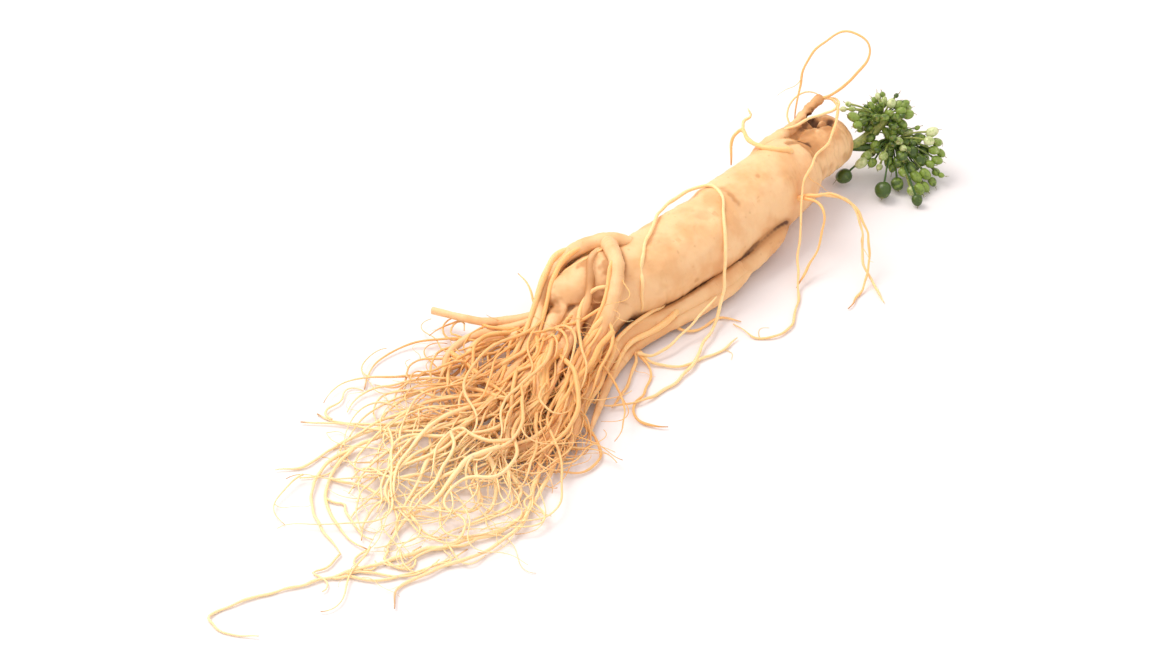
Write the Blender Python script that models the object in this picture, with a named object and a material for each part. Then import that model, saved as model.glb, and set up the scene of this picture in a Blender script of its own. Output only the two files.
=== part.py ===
"""A ginseng root as dug and washed, lying down, with the fruiting stalk that grows from its crown.

The file works in metres with +Z up. The origin lies on the flat spot under the body that the root
rests on, and +X runs along the body towards the crown. A route is a short list of (x, y, z, radius)
stations in millimetres, chosen by hand, that a smooth curve is drawn through.
"""

import math

import bmesh
import bpy
import numpy as np

MM = 0.001
# Round sections keep at least this height over the surface that the root lies on.
FLOOR_GAP = 0.25

# The body: stations from the tip of the crown dome down to where the legs part.
BODY_ROUTE = [
    (64.8, 2.2, 14.6, 1.0),
    (64.0, 2.2, 14.6, 4.4),
    (61.6, 2.1, 14.8, 7.6),
    (58.0, 2.0, 15.0, 9.4),
    (53.0, 2.0, 15.3, 10.2),
    (48.0, 1.8, 15.3, 10.1),
    (44.0, 1.2, 15.2, 9.3),
    (41.6, 0.9, 15.0, 9.0),
    (39.0, 0.8, 14.9, 10.5),
    (35.0, 0.7, 14.7, 12.2),
    (28.0, 0.5, 14.4, 13.2),
    (18.0, 0.1, 13.9, 13.9),
    (4.0, 0.0, 13.4, 13.9),
    (-14.0, 0.0, 13.4, 14.0),
    (-31.0, 0.8, 13.4, 13.9),
    (-42.0, 2.0, 13.3, 13.6),
    (-52.0, 5.2, 13.2, 13.2),
    (-60.0, 9.4, 13.0, 11.8),
    (-66.0, 12.2, 12.8, 9.6),
    (-70.6, 14.0, 12.6, 7.0),
    (-73.6, 15.2, 12.4, 4.2),
    (-75.2, 15.8, 12.2, 1.4),
]
BODY_STATIONS = 42
BODY_SIDES = 18
BODY_SAMPLES = 400
LEAST_RADIUS = 0.6
# Growth rings: faint swellings round the body, wavy by a share of a turn.
RING_SPACING = 7.5
RING_HEIGHT = 0.15
RING_WAVE = 0.8
# Lobes: (height as a share of the radius, number round the body, millimetres per radian of twist, turn).
LOBES = [
    (0.022, 2, 23.0, 0.0),
    (0.018, 3, -17.0, 1.0),
]
# Old stem scars and hollows: (x, degrees from straight up towards -Y, depth, width).
SCARS = [
    (46.0, -36.0, 1.5, 3.2),
    (52.0, -20.0, 1.4, 2.6),
    (41.5, 10.0, 0.9, 2.6),
    (14.0, 30.0, 0.5, 3.0),
    (-8.0, -30.0, 0.6, 4.0),
]

# Thick roots: the legs, the side leg under the body and the roots wrapped over its lower end.
LEGS = {
    "leg_middle": [
        (-56, 6, 12, 6.0), (-70, 4.4, 11.4, 4.0), (-83, -1, 11, 3.1), (-95, -3, 10, 2.8),
        (-106, -11, 7, 2.4), (-118, -11, 5.4, 1.9), (-130, -17, 3.4, 1.4), (-142, -14, 2.4, 0.9),
    ],
    "leg_near": [
        (-54, 0, 11, 6.0), (-68, -2, 10, 4.0), (-80, -9, 8.4, 3.1), (-93, -12, 7.4, 2.8),
        (-105, -20, 5, 2.4), (-117, -21, 3.8, 1.8), (-128, -16, 3, 1.3), (-139, -18, 2.2, 0.8),
    ],
    "leg_far": [
        (-62, 11, 12, 5.0), (-73, 10, 12.4, 3.4), (-84, 6.4, 10.6, 2.6), (-95, 0.4, 8.6, 2.3),
        (-106, 1.4, 6.6, 2.0), (-118, -1, 5.2, 1.6), (-131, 4, 3.8, 1.2), (-145, 3, 2.2, 0.8),
    ],
    "leg_low": [
        (-56, 2, 8, 5.4), (-70, -4, 6, 3.5), (-84, -11, 5, 2.7), (-98, -18, 4, 2.2),
        (-114, -23, 3.2, 1.7), (-132, -25, 2, 0.9),
    ],
    "side_leg": [
        (20, -8, 11, 3.6), (8, -12.6, 8.4, 4.2), (-8, -13.8, 6, 3.9), (-26, -13.2, 5.4, 3.6),
        (-44, -10.8, 5.4, 3.2), (-62, -8.8, 5, 2.8), (-79, -13, 4.4, 2.3), (-94, -19, 3.8, 1.9),
        (-108, -27, 3, 1.4), (-122, -33, 2, 0.8),
    ],
    "side_leg_branch": [
        (0, -14.4, 6.4, 1.9), (-14, -16.8, 4.4, 2.1), (-31, -16.2, 3.6, 2.1), (-47, -13.6, 3.4, 1.9),
        (-63, -12.4, 3, 1.7), (-78, -16.6, 2.8, 1.5), (-93, -24, 2.4, 1.1), (-106, -31, 1.8, 0.8),
    ],
    "wrap_band": [
        (-40, 10, 18, 3.2), (-45.4, 13.6, 23.6, 2.9), (-50, 8, 26.2, 2.7), (-54.5, 1.8, 25.8, 2.6),
        (-59.5, -2.4, 22.4, 2.5), (-66, -5.4, 18, 2.4), (-75, -8, 13.6, 2.3), (-88, -12, 10.4, 2.1),
        (-100, -18, 7.4, 1.8), (-114, -24, 4.4, 1.3), (-128, -28, 2.6, 0.8),
    ],
    "wrap_arc": [
        (-38, 4.6, 21, 2.8), (-44.6, 11.6, 25, 2.7), (-52, 17.6, 24, 2.6), (-61, 20.4, 21, 2.5),
        (-69, 18.6, 17.4, 2.4), (-77, 14.6, 14, 2.2), (-88, 9, 11, 1.9), (-100, 5, 8.6, 1.6),
        (-114, 6, 5.4, 1.2), (-130, 12, 3, 0.8),
    ],
    "wrap_inner": [
        (-49, 13.4, 23, 1.8), (-57, 10.6, 24.2, 1.6), (-62.5, 6, 22.8, 1.5), (-68, 2.4, 19, 1.4),
        (-76, -0.6, 15.4, 1.3), (-88, -5.6, 12.4, 1.1), (-102, -11.4, 9.2, 0.9), (-116, -15, 6.4, 0.7),
    ],
    "loop_inner": [
        (-70, 12, 12, 3.2), (-80, 9.6, 11.4, 2.5), (-87, 15, 8.4, 2.1), (-92, 23, 6.2, 1.9),
        (-99, 24.4, 5, 1.8), (-106, 17, 4.4, 1.7), (-107, 7.6, 4.8, 1.7), (-101, 2, 6.4, 1.7),
    ],
    "loop_outer": [
        (-70, 13, 12.4, 2.4), (-80, 15.6, 10.4, 1.9), (-88, 23.4, 7, 1.5), (-96, 29.6, 5, 1.3),
        (-104, 30, 3.8, 1.2), (-112, 25, 3, 1.1), (-120, 17, 2.6, 0.9), (-124, 8, 2.6, 0.8),
    ],
    "cut_root": [
        (-70, 12, 13, 2.6), (-78, 16, 11.4, 1.8), (-84, 22, 9.4, 1.5), (-89, 29, 8, 1.35),
        (-92, 38, 7, 1.3), (-94.5, 47, 6.2, 1.3),
    ],
    "crown_stub": [
        (24, 9.7, 22.2, 1.6), (28.5, 9.5, 22.4, 2.4), (33.5, 9, 22.6, 2.9), (38.7, 8.2, 23.4, 2.9),
        (46.4, 7.8, 25.2, 2.2), (52.7, 8.3, 26.6, 1.8), (57.7, 8.4, 28.4, 1.5), (60, 8.1, 29.4, 1.5),
    ],
}
LEG_SIDES = 7
LEG_STEP = 7.5
LEG_LEAST = 5

# Single thin roots that the eye picks out, from their thick end to their tip.
THREADS = {
    "over_body": [
        (-51, -5, 6, 0.9), (-52.4, -7.4, 12.4, 0.8), (-52, -6.9, 18.6, 0.75), (-49, -3.9, 23.6, 0.75),
        (-43, 0.1, 26.6, 0.75), (-34, 4.6, 27.6, 0.75), (-23, 9.6, 26.4, 0.75), (-13, 11, 25.6, 0.75),
        (-5.4, 9.2, 26.4, 0.75), (-3.2, 4.4, 27.8, 0.75), (-6, -1.4, 28.2, 0.75),
        (-12.4, -8.2, 25.6, 0.75), (-18.4, -14.2, 19, 0.75), (-24, -18.6, 10, 0.75), (-31, -22, 4, 0.7),
        (-44, -27, 1.7, 0.65), (-60, -31.6, 1, 0.65), (-74, -31, 1, 0.6), (-84, -27, 1.6, 0.6),
        (-92, -19, 3, 0.6),
    ],
    "shoulder_curl": [
        (31, -2.4, 25.4, 1.5), (28.4, -1.2, 27.8, 1.35), (26.4, 0.6, 28.4, 1.25), (25.3, 3.2, 28.2, 1.2),
        (25, 5.9, 27.8, 1.1), (25.6, 9.4, 27, 1), (27.6, 14, 26, 0.9), (30, 19, 25.6, 0.8),
        (28.6, 21.4, 23.6, 0.7), (24, 18, 14.6, 0.6),
    ],
    "shoulder_curl_tip": [
        (29.6, 18, 25.8, 0.8), (33, 21, 27.4, 0.6), (36.5, 20, 28.6, 0.55), (37, 22, 30, 0.5),
    ],
    "crown_loop": [
        (59, 8.2, 29, 0.8), (60.7, 5.2, 30.6, 0.7), (62.2, 2.6, 33.6, 0.7), (64.6, -1, 38.4, 0.6),
        (67, -4, 44, 0.6), (69.6, -4.6, 49.6, 0.5), (69.6, 0, 53.4, 0.5), (67.4, 6, 53.4, 0.5),
        (62.4, 11, 49.4, 0.5), (57.4, 13.4, 42.4, 0.5), (52.6, 12.6, 33, 0.5), (46.6, 9, 25.8, 0.5),
    ],
    "crown_drop": [
        (59, 8.2, 29, 0.8), (60.7, 4.4, 30, 0.7), (59.4, 0.2, 29, 0.6), (55.6, -2.3, 27, 0.6),
        (47.5, -6, 24.9, 0.6), (36.5, -8.9, 25, 0.6), (28.6, -11.4, 23.8, 0.6),
        (22.3, -14.1, 19.4, 0.5), (14.6, -20, 13, 0.5), (6, -26, 6, 0.5), (-2, -33, 1.2, 0.5),
        (-12, -39.4, 0.8, 0.5), (-22, -42, 0.8, 0.5), (-29, -36, 0.8, 0.5), (-28.6, -27, 0.8, 0.5),
    ],
    "crown_cross": [
        (38.7, 9.8, 24.4, 0.8), (42.7, 5.9, 27.2, 0.6), (49.4, 3.7, 28.2, 0.6), (55.2, 2.5, 27.6, 0.6),
        (58.1, 0.9, 28, 0.6), (60.6, 0.9, 29, 0.6), (61.6, 3.5, 30.2, 0.6), (60.4, 5.6, 30.4, 0.6),
    ],
    "shoulder_loop": [
        (22, -11, 16, 1.2), (25, -17, 19, 0.8), (28, -24, 20.6, 0.65), (29.4, -32, 18, 0.55),
        (26.4, -39.6, 12, 0.55), (20, -45, 4.6, 0.5), (13, -48, 0.9, 0.5), (3, -50, 0.8, 0.5),
    ],
    "shoulder_loop_far": [
        (26, -19, 19.8, 0.7), (29.4, -28, 19.6, 0.55), (27, -36.4, 13, 0.5), (21.4, -42, 5, 0.5),
        (18.4, -49, 1, 0.5), (14, -57, 0.8, 0.5),
    ],
    "shoulder_loop_near": [
        (23, -13.4, 17.4, 0.8), (21.4, -24, 18.4, 0.55), (17, -27.6, 12.6, 0.5), (8.4, -29, 4.6, 0.5),
        (0, -31, 1.4, 0.5),
    ],
    "floor_branch_far": [
        (-44.5, -12, 3, 0.8), (-43, -17, 1.4, 0.6), (-40, -19.5, 0.9, 0.55), (-35.5, -20.5, 0.8, 0.55),
        (-30, -21, 0.8, 0.5), (-27.5, -24, 0.8, 0.5), (-25.5, -28, 0.8, 0.5),
    ],
    "floor_branch_near": [
        (-62, -15, 3.2, 0.8), (-62, -19.5, 1.6, 0.6), (-60, -23.5, 1, 0.55), (-57.5, -27.5, 0.9, 0.55),
        (-53, -29.5, 0.8, 0.55), (-48, -30.5, 0.8, 0.5), (-44, -32, 0.8, 0.5), (-40, -33, 0.8, 0.5),
        (-36, -32.5, 0.8, 0.5), (-33, -32.5, 0.8, 0.5),
    ],
    "floor_branch_hook": [
        (-62.5, -14.5, 3.2, 0.8), (-63.5, -19, 1.6, 0.6), (-65.5, -22.5, 1, 0.55),
        (-69.5, -25.5, 0.9, 0.55), (-74.5, -28, 0.8, 0.5), (-80, -29, 0.8, 0.5), (-83.5, -31, 0.8, 0.5),
        (-85.5, -34.5, 0.8, 0.5), (-85, -38.5, 0.8, 0.5), (-83.5, -42, 0.8, 0.5), (-81.5, -44, 0.8, 0.5),
    ],
    "floor_branch_down": [
        (-62.5, -13, 3.4, 0.9), (-64.5, -16, 2, 0.7), (-69.5, -18.5, 1.4, 0.65), (-75, -21.5, 1.1, 0.6),
        (-81, -23.5, 1, 0.55), (-86.5, -24.5, 1, 0.5),
    ],
    "side_strand": [
        (-64, -15.5, 4, 0.8), (-60.5, -18.5, 2.8, 0.6), (-56.5, -19.5, 2.6, 0.55), (-52, -20, 3, 0.55),
        (-47, -20, 4, 0.55), (-42.5, -20.5, 5.4, 0.5), (-38.5, -20.5, 7, 0.5), (-34.5, -21, 8.6, 0.5),
        (-30.5, -21, 10.4, 0.5),
    ],
    "side_loop": [
        (-94, -15.6, 5.4, 0.9), (-99, -24, 3.4, 0.7), (-102, -32, 1.6, 0.6), (-107, -38, 1.2, 0.55),
        (-116, -37.4, 1.1, 0.5), (-123, -31, 1.6, 0.5),
    ],
    "sweep_long": [
        (-112, -26.4, 3.6, 1.1), (-126, -33, 2.2, 0.9), (-138, -37, 1.6, 0.85), (-151, -37.4, 1.4, 0.8),
        (-164, -31, 1.4, 0.8), (-178, -23.4, 1.2, 0.75), (-193, -16, 1, 0.65), (-209, -8, 0.8, 0.55),
        (-225, 0, 0.7, 0.5), (-235, 1.4, 0.7, 0.5), (-235.6, -5, 0.7, 0.5), (-230, -15, 0.7, 0.5),
    ],
    "sweep_short": [
        (-112, -20.4, 3.8, 1.1), (-128, -30.4, 2.8, 0.9), (-146, -40.4, 1.8, 0.8),
        (-162, -39.6, 1.4, 0.7), (-178, -33.6, 1.2, 0.6), (-190, -31.6, 1, 0.55), (-196, -36, 0.8, 0.5),
    ],
    "left_arc": [
        (-128, 9.4, 3, 1.0), (-150, 20.6, 2.2, 0.8), (-166, 23, 1.6, 0.7), (-178, 17.4, 1.2, 0.6),
        (-186, 6, 1, 0.55), (-190, -8, 0.8, 0.5),
    ],
    "left_tip": [
        (-130, 12, 2.6, 0.9), (-146, 24, 1.6, 0.7), (-160, 27.6, 1, 0.55), (-171, 28, 0.8, 0.5),
        (-178, 33.4, 0.8, 0.5),
    ],
}
THREAD_SIDES = 3
THREAD_STEP = 6.5
THREAD_LEAST = 6

# The fan's rootlets that the eye can follow, from their thick end to their tip: (radius, (x, y, z) places).
ROOTLETS = {
    "bundle_arc": (0.75, [
        (-82, 1, 16.5), (-87, 0, 16), (-91.5, -3, 15.5), (-95.5, -5, 15), (-100.5, -5.5, 14.5),
        (-105, -5.5, 14), (-110.5, -6, 13.5), (-115, -6, 13), (-118.5, -7.5, 12.4), (-122, -10, 11.8),
        (-125, -13, 11), (-129, -16, 10),
    ]),
    "right_arc": (0.8, [
        (-89, -4.5, 15), (-91.5, -10, 15.4), (-93, -14, 15.2), (-96.5, -18.5, 14.6), (-100, -22.5, 13.4),
        (-104, -26, 12), (-107.5, -27, 10.4), (-111, -27.5, 9), (-115.5, -27, 7.6), (-119.5, -26, 6.4),
        (-122.5, -25, 5), (-125.5, -23, 3.6), (-127.5, -21, 3), (-127, -18, 4),
    ]),
    "bundle_drop": (0.7, [
        (-62, 1, 20), (-64.5, 3.5, 19.6), (-69, 3, 18.8), (-73.5, 1, 17.8), (-78, -2.5, 17),
        (-81.5, -6.5, 16.4), (-85, -10.5, 15.8), (-88.5, -15.5, 14.6), (-93, -18.5, 13), (-98.5, -21, 12),
    ]),
    "bundle_cross": (0.65, [
        (-63.5, -2, 18.6), (-67.5, -2.5, 18), (-72, -2, 17.4), (-76.5, -1, 16.8), (-80.5, 2, 16),
        (-85, 5, 15), (-87.5, 9, 13.6), (-88.5, 14, 12),
    ]),
    "hook_low": (0.5, [
        (-86, 6.5, 14.4), (-83.5, 4, 15.6), (-83, 0.5, 16.2), (-84.5, -3, 16.2), (-87.5, -6.5, 15.8),
        (-91, -8, 15), (-94.5, -9.5, 14),
    ]),
    "hook_high": (0.5, [
        (-84, 3, 16), (-81, 1, 16.8), (-81, -2, 17.2), (-83, -6, 17), (-87, -9, 16.4), (-91.5, -11.5, 15.4),
        (-95.5, -13.5, 14.2),
    ]),
    "right_drop": (0.65, [
        (-67, -7, 16), (-71, -11.5, 15), (-75, -14.5, 14), (-79.5, -16, 13), (-84, -17.5, 12),
        (-88, -19.5, 10.6), (-92, -21, 8.6), (-95, -21.5, 6.4), (-98, -23, 4),
    ]),
    "right_edge": (0.75, [
        (-68, -11.5, 9), (-74.5, -14, 8.6), (-80.5, -16.5, 7.6), (-85.5, -19, 6.6), (-90.5, -20, 5.4),
        (-95, -21.5, 4.2), (-99.5, -23.5, 2.6), (-104, -25.5, 1.6),
    ]),
    "right_inner": (0.95, [
        (-72.5, -10, 15.4), (-77.5, -11.5, 14.6), (-81.5, -13.5, 14), (-86, -15, 13.6), (-91, -16, 13.4),
        (-96.5, -17, 13), (-102, -19, 12.4), (-107, -20, 11.4), (-111.5, -21.5, 10), (-116, -22.5, 8),
    ]),
    "ladder": (0.5, [
        (-108, -9.5, 12.6), (-113, -9.5, 12.2), (-118, -10, 11.8), (-122, -12, 11.2), (-126, -15, 10.4),
    ]),
    "low_loop": (0.6, [
        (-109.5, -11, 12), (-115, -14, 11.6), (-121, -17, 11), (-126.5, -18.5, 10.2), (-131, -17.5, 9.6),
        (-133.5, -15, 9), (-136, -13.5, 8.4), (-139, -13, 7.6), (-141.5, -13.5, 6.4), (-143.5, -15, 4.6),
        (-145.5, -17.5, 2.8), (-145, -21.5, 1.6), (-143.5, -24.5, 1.4), (-142, -27, 1.4),
    ]),
    "arch": (0.6, [
        (-126.5, -19, 10), (-129.5, -16.5, 10.2), (-131.5, -13.5, 10.2), (-132.5, -10.5, 10.2),
        (-133, -7, 10.2), (-133, -3, 10.2), (-135, -1.5, 9.8), (-138, -1, 9), (-141.5, -1.5, 8),
        (-145.5, -4, 7), (-149, -6.5, 6), (-153, -9, 5),
    ]),
    "arch_drop": (0.6, [
        (-135, -1, 9.4), (-138, -5, 8.6), (-142.5, -7.5, 7.8), (-146, -8.5, 7.2), (-149.5, -10, 6.6),
        (-153, -11.5, 6), (-156, -12, 5.2), (-159.5, -12, 4.6), (-163, -12.5, 3.8), (-167, -12.5, 3),
    ]),
    "long_curve": (0.75, [
        (-112.5, -0.5, 10.4), (-118, 0.5, 10), (-123, 2, 9.6), (-128, 4, 9.2), (-132.5, 5.5, 8.8),
        (-137, 6, 8.4), (-142, 5.5, 7.8), (-147, 4.5, 7.2), (-150.5, 4, 6.6), (-154.5, 3, 6), (-158, 1, 5),
        (-161, -1.5, 4.2), (-164, -5, 3.4), (-165.5, -9.5, 2.8), (-166.5, -13, 2.2),
    ]),
    "stout_low": (1, [
        (-110, 0.5, 9.4), (-116.5, 0.5, 8.8), (-122, 0, 8.2), (-127.5, -1, 7.6), (-133.5, -1, 7),
        (-140, -1, 6.2), (-146.5, -2, 5.4), (-152, -4.5, 4.4), (-158.5, -7, 3.2), (-164, -9, 2.4),
        (-169.5, -11.5, 1.8), (-175, -14, 1.5),
    ]),
    "stout_near": (0.95, [
        (-130, -17, 8.6), (-134.5, -14.5, 7.8), (-139.5, -12.5, 7), (-144.5, -13, 6), (-149.5, -13.5, 5),
        (-154, -14.5, 4), (-159, -14.5, 3), (-163, -13.5, 2.4), (-166.5, -13, 2), (-171, -14, 1.6),
        (-175.5, -15.5, 1.4), (-180, -17.5, 1.3),
    ]),
    "ring_root": (0.95, [
        (-103.5, 28, 4.6), (-105.5, 23, 5.6), (-108, 15, 7), (-110, 7.5, 8.4), (-111.5, 0, 9.6),
        (-113.5, -6.5, 10),
    ]),
    "row_root": (0.85, [
        (-112.5, -5.5, 9.6), (-113.5, -1, 9), (-113.5, 5.5, 7.6), (-115, 12.5, 6), (-118, 19, 4.8),
        (-123, 23, 3.8), (-129, 25.5, 3), (-135.5, 26, 2.2), (-142.5, 24.5, 1.6),
    ]),
    "far_arc": (0.55, [
        (-108, 1.5, 8.6), (-109.5, 10.5, 7), (-113.5, 18, 5.6), (-118, 25, 4.4), (-122.5, 30.5, 3.2),
        (-127, 33.5, 2.4), (-131, 37, 1.8), (-136, 38.5, 1.3), (-141, 38, 1), (-144.5, 36.5, 0.8),
    ]),
    "left_row": (0.5, [
        (-128, 8.5, 6.4), (-134.5, 14.5, 4.4), (-140.5, 20, 3), (-144.5, 25.5, 2), (-148.5, 32.5, 1.2),
        (-150.5, 38.5, 0.9), (-151, 43, 0.8),
    ]),
    "left_hook": (0.5, [
        (-123.5, 13, 6.4), (-131, 18, 5), (-137.5, 21.5, 3.8), (-143, 24.5, 2.8), (-148.5, 25.5, 2.2),
        (-153.5, 26, 1.6), (-157.5, 25.5, 1.3), (-161, 22.5, 1.1), (-164.5, 20.5, 0.9), (-168.5, 20.5, 0.8),
        (-172.5, 23, 0.8), (-175.5, 25.5, 0.8),
    ]),
    "left_rim": (0.6, [
        (-155, 17, 3), (-159.5, 19, 2), (-162.5, 20.5, 1.4), (-167, 19.5, 1.1), (-171.5, 17, 1),
        (-176, 13.5, 0.9), (-179.5, 8, 0.9), (-182, 2.5, 0.9), (-184, -3.5, 0.9), (-184.5, -8.5, 1),
        (-184, -13, 1),
    ]),
    "web_s": (0.5, [
        (-167.5, 15.5, 0.9), (-167, 13, 0.9), (-166, 9.5, 1.3), (-165.5, 5, 1.9), (-165.5, -0.5, 2.4),
        (-166.5, -6, 2.8), (-167, -10.5, 2.6), (-167.5, -15, 2.2), (-168.5, -19, 1.8), (-168.5, -23, 1.5),
        (-166, -26.5, 1.2),
    ]),
    "web_c": (0.6, [
        (-140.5, 2, 8), (-148, 2.5, 6.2), (-155.5, 2.5, 5), (-160.5, 1.5, 4.2), (-164.5, -1, 3.4),
        (-166.5, -5, 3), (-168, -9, 2.5), (-170.5, -12.5, 1.9), (-174.5, -14.5, 1.5), (-179.5, -16, 1.1),
    ]),
    "web_k": (0.6, [
        (-143.5, -10.5, 6), (-150.5, -10, 5), (-156.5, -9.5, 4), (-161.5, -10, 3.2), (-165, -12.5, 2.6),
        (-166.5, -16.5, 2), (-167.5, -20.5, 1.6), (-166.5, -24.5, 1.3), (-163.5, -27.5, 1.1),
    ]),
    "near_loop": (0.85, [
        (-134, -13.5, 8), (-134, -16, 6.4), (-135.5, -19.5, 4.4), (-138.5, -23, 2.8), (-142.5, -26.5, 1.8),
        (-146.5, -28.5, 1.3), (-150.5, -28.5, 1.1), (-153.5, -27.5, 1.1),
    ]),
    "near_band": (0.65, [
        (-131.5, -19.5, 5), (-133.5, -26, 3.4), (-135.5, -31, 2.4), (-139.5, -32.5, 1.8),
        (-144.5, -31.5, 1.4), (-150, -30, 1.2), (-155.5, -28, 1.1), (-161, -26, 1), (-165.5, -25, 1),
    ]),
    "right_tongue": (0.55, [
        (-117.5, -22, 7), (-115, -24, 4.4), (-112, -26.5, 2.6), (-109.5, -29.5, 1.3), (-106.5, -31.5, 1),
        (-103.5, -31.5, 1), (-102, -29, 1.2),
    ]),
    "net_top": (0.5, [
        (-158, -36, 0.9), (-162.5, -34, 1.1), (-166, -31, 1.3), (-170.5, -28, 1.4), (-176, -26, 1.2),
        (-181, -25.5, 1), (-184, -23, 0.9), (-185, -19.5, 0.9),
    ]),
    "mid_a": (0.5, [
        (-111.5, 7, 7.6), (-115.5, 15, 6), (-122, 21.5, 4.6), (-129, 26, 3.6), (-135, 28.5, 2.8),
        (-142, 29.5, 2), (-148.5, 28.5, 1.4), (-154.5, 26.5, 1),
    ]),
    "mid_b": (0.6, [
        (-113.5, 1, 8.4), (-118.5, 8.5, 7), (-124, 14.5, 5.8), (-130.5, 18.5, 4.8), (-138, 20, 3.8),
        (-146, 20, 2.9), (-153, 19, 2.1), (-158.5, 17.5, 1.5), (-162.5, 14, 1.2), (-164.5, 10, 1.1),
    ]),
    "mid_c": (0.6, [
        (-125.5, -1.5, 7.4), (-132, 3, 6.8), (-139, 6.5, 6.2), (-145.5, 9.5, 5.2), (-152, 11, 4.2),
        (-158, 11.5, 3.1), (-162.5, 11, 2.1), (-167.5, 10, 1.4), (-170.5, 9, 1),
    ]),
    "mid_d": (0.55, [
        (-134.5, -5.5, 7.4), (-142, -3, 6.8), (-148.5, -0.5, 6), (-153.5, 2.5, 5), (-158, 6, 4),
        (-161, 10, 3), (-161.5, 16, 2), (-160, 20.5, 1.4),
    ]),
    "mid_e": (0.5, [
        (-122.5, 9.5, 6.6), (-124, 18.5, 5), (-125.5, 26, 3.8), (-129, 30.5, 2.8), (-133.5, 32.5, 1.9),
        (-138.5, 30.5, 1.3), (-142, 25.5, 1.2),
    ]),
    "mid_g": (0.5, [
        (-143.5, 7.5, 6.6), (-149.5, 7, 5.8), (-154.5, 6, 5), (-159.5, 4, 4.4), (-163.5, 1.5, 3.6),
        (-166.5, -2, 2.8), (-171, -4, 1.8),
    ]),
    "end_far": (0.5, [
        (-80.5, 10, 12), (-78, 14, 12.6), (-75.5, 19, 13), (-72, 23.5, 13.2), (-69, 28.5, 13),
        (-67, 34, 12.4),
    ]),
}
ROOTLET_SIDES = 3
ROOTLET_STEP = 7.0
ROOTLET_LEAST = 6
ROOTLET_TIP_RADIUS = 0.42
# The share of its length over which a rootlet swings from the root that it grows from to its own path.
ROOTLET_JOINING = 0.2

# The fruiting stalk: two branches from one foot, each with its umbel of green berries.
STALKS = {
    "upper": [
        (64.1, -2.2, 10.8, 1.6), (66.0, -3.1, 10.8, 1.6), (68.4, -4.6, 12.2, 1.6),
        (71.6, -6.6, 15.2, 1.8), (75.3, -8.5, 20.5, 2.2),
    ],
    "lower": [
        (64.3, -2.4, 10.7, 1.4), (66.4, -4.1, 10.2, 1.4), (69.0, -7.4, 10.4, 1.4),
        (72.4, -11.0, 11.8, 1.5), (75.5, -14.0, 13.4, 2.2),
    ],
}
STALK_SIDES = 7
STALK_STATIONS = 7
# The berries of each umbel, where they hang: (x, y, z, radius).
BERRIES = {
    "upper": [
        (68.8, -3.9, 20, 1.9), (70.6, -5.4, 17.2, 1.6), (64, -3.3, 24, 1.8), (62.9, -6, 22.5, 1.5),
        (69.1, 2.8, 24, 1), (68.5, 0.6, 23.2, 1), (66.4, 2.9, 23.2, 1), (77.4, -3.8, 26.1, 1.1),
        (77.5, -6.4, 25.6, 1), (78.6, -8.7, 24.8, 1.6), (80.6, -10.3, 23.7, 1.6),
        (78.9, -12.9, 23.3, 1.5), (81.4, -14.3, 21.3, 1.8), (83.6, -12.2, 21.8, 1.3),
        (76.6, -12.7, 21.4, 1.8), (78.4, -14.2, 18.6, 1.6), (73.9, -13.6, 19.8, 1.5),
        (76, -15.2, 17.3, 1.3), (74.4, -11.1, 23.9, 1.3), (73.4, -1.7, 19.6, 1.4),
        (75.7, -3.2, 17.3, 1.4), (78.1, -3.7, 20.6, 1.2), (78.8, -8, 16.2, 1.6), (72.9, -4.1, 21.8, 1),
        (69.5, -2.8, 15.3, 1),
    ],
    "lower": [
        (71.8, -17.7, 16.5, 1.6), (71.1, -20.5, 15.2, 1.2), (79.8, -16.6, 15.1, 1.2),
        (78.7, -19.3, 13.6, 1.5), (82.2, -20.6, 14, 1.1), (84.6, -22.9, 16, 1.8),
        (81.1, -24.3, 14.7, 1.7), (84.8, -25.2, 12.7, 1.6), (81.4, -26.5, 11.7, 1.6),
        (83.9, -27.9, 9.7, 1.4), (81.1, -28.4, 8.5, 1.6), (78.1, -27.6, 8, 1.4),
        (79.6, -29.5, 4.6, 1.4), (79.6, -31.7, 4.4, 1), (76.3, -30.4, 2.6, 1.4),
        (74.6, -28.3, 5.9, 1.8), (71.3, -26.8, 5.7, 1.8), (72.1, -23.5, 7.5, 1.9),
        (69.1, -22.7, 7, 1.6), (70.3, -19.4, 9.1, 1.8), (68.6, -18.3, 6.9, 1.2), (77.1, -24, 8.5, 2.1),
        (75.9, -21.1, 11.2, 2.1), (81.1, -22.6, 10, 1.9), (70.2, -20.9, 12.5, 1.9),
        (70.5, -15.1, 11.2, 1.8), (69.3, -29.9, 3.1, 1.8), (67.1, -28.1, 2.6, 1.4),
        (72.4, -30.2, 2.4, 1.5), (64.3, -32.8, 2.6, 1.8), (59.4, -21.6, 4, 2.7),
        (66.4, -22.5, 3.2, 2.1), (62.1, -9.5, 8.3, 1.8), (65.1, -9.3, 9.5, 1.6),
        (64.7, -12.4, 8.3, 1.5), (67.9, -9, 9.2, 1.6), (65, -15.3, 7.8, 1.1), (66.4, -15.6, 11.9, 1.5),
        (68.1, -16.7, 9.4, 1.4), (56.5, -6.5, 4.2, 2.6), (67.4, -12.2, 12.3, 1.3),
        (76.5, -18.3, 4.7, 1.6), (79, -20.9, 3.3, 1.6), (83.4, -21.8, 4.8, 1.5),
        (79.9, -15.4, 8.4, 1.6), (76.7, -11.1, 8.9, 1.5),
    ],
}
PEDICEL_RADIUS = 0.42
PEDICEL_SIDES = 3
PEDICEL_STATIONS = 4
PEDICEL_BOW = 1.4
# How deep a pedicel's foot lies inside its branch, and how far it already leans towards its berry there.
PEDICEL_SUNK = 1.3
PEDICEL_LEAN = 0.4
BERRY_SIDES = 6
BERRY_RINGS = 4
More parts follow.
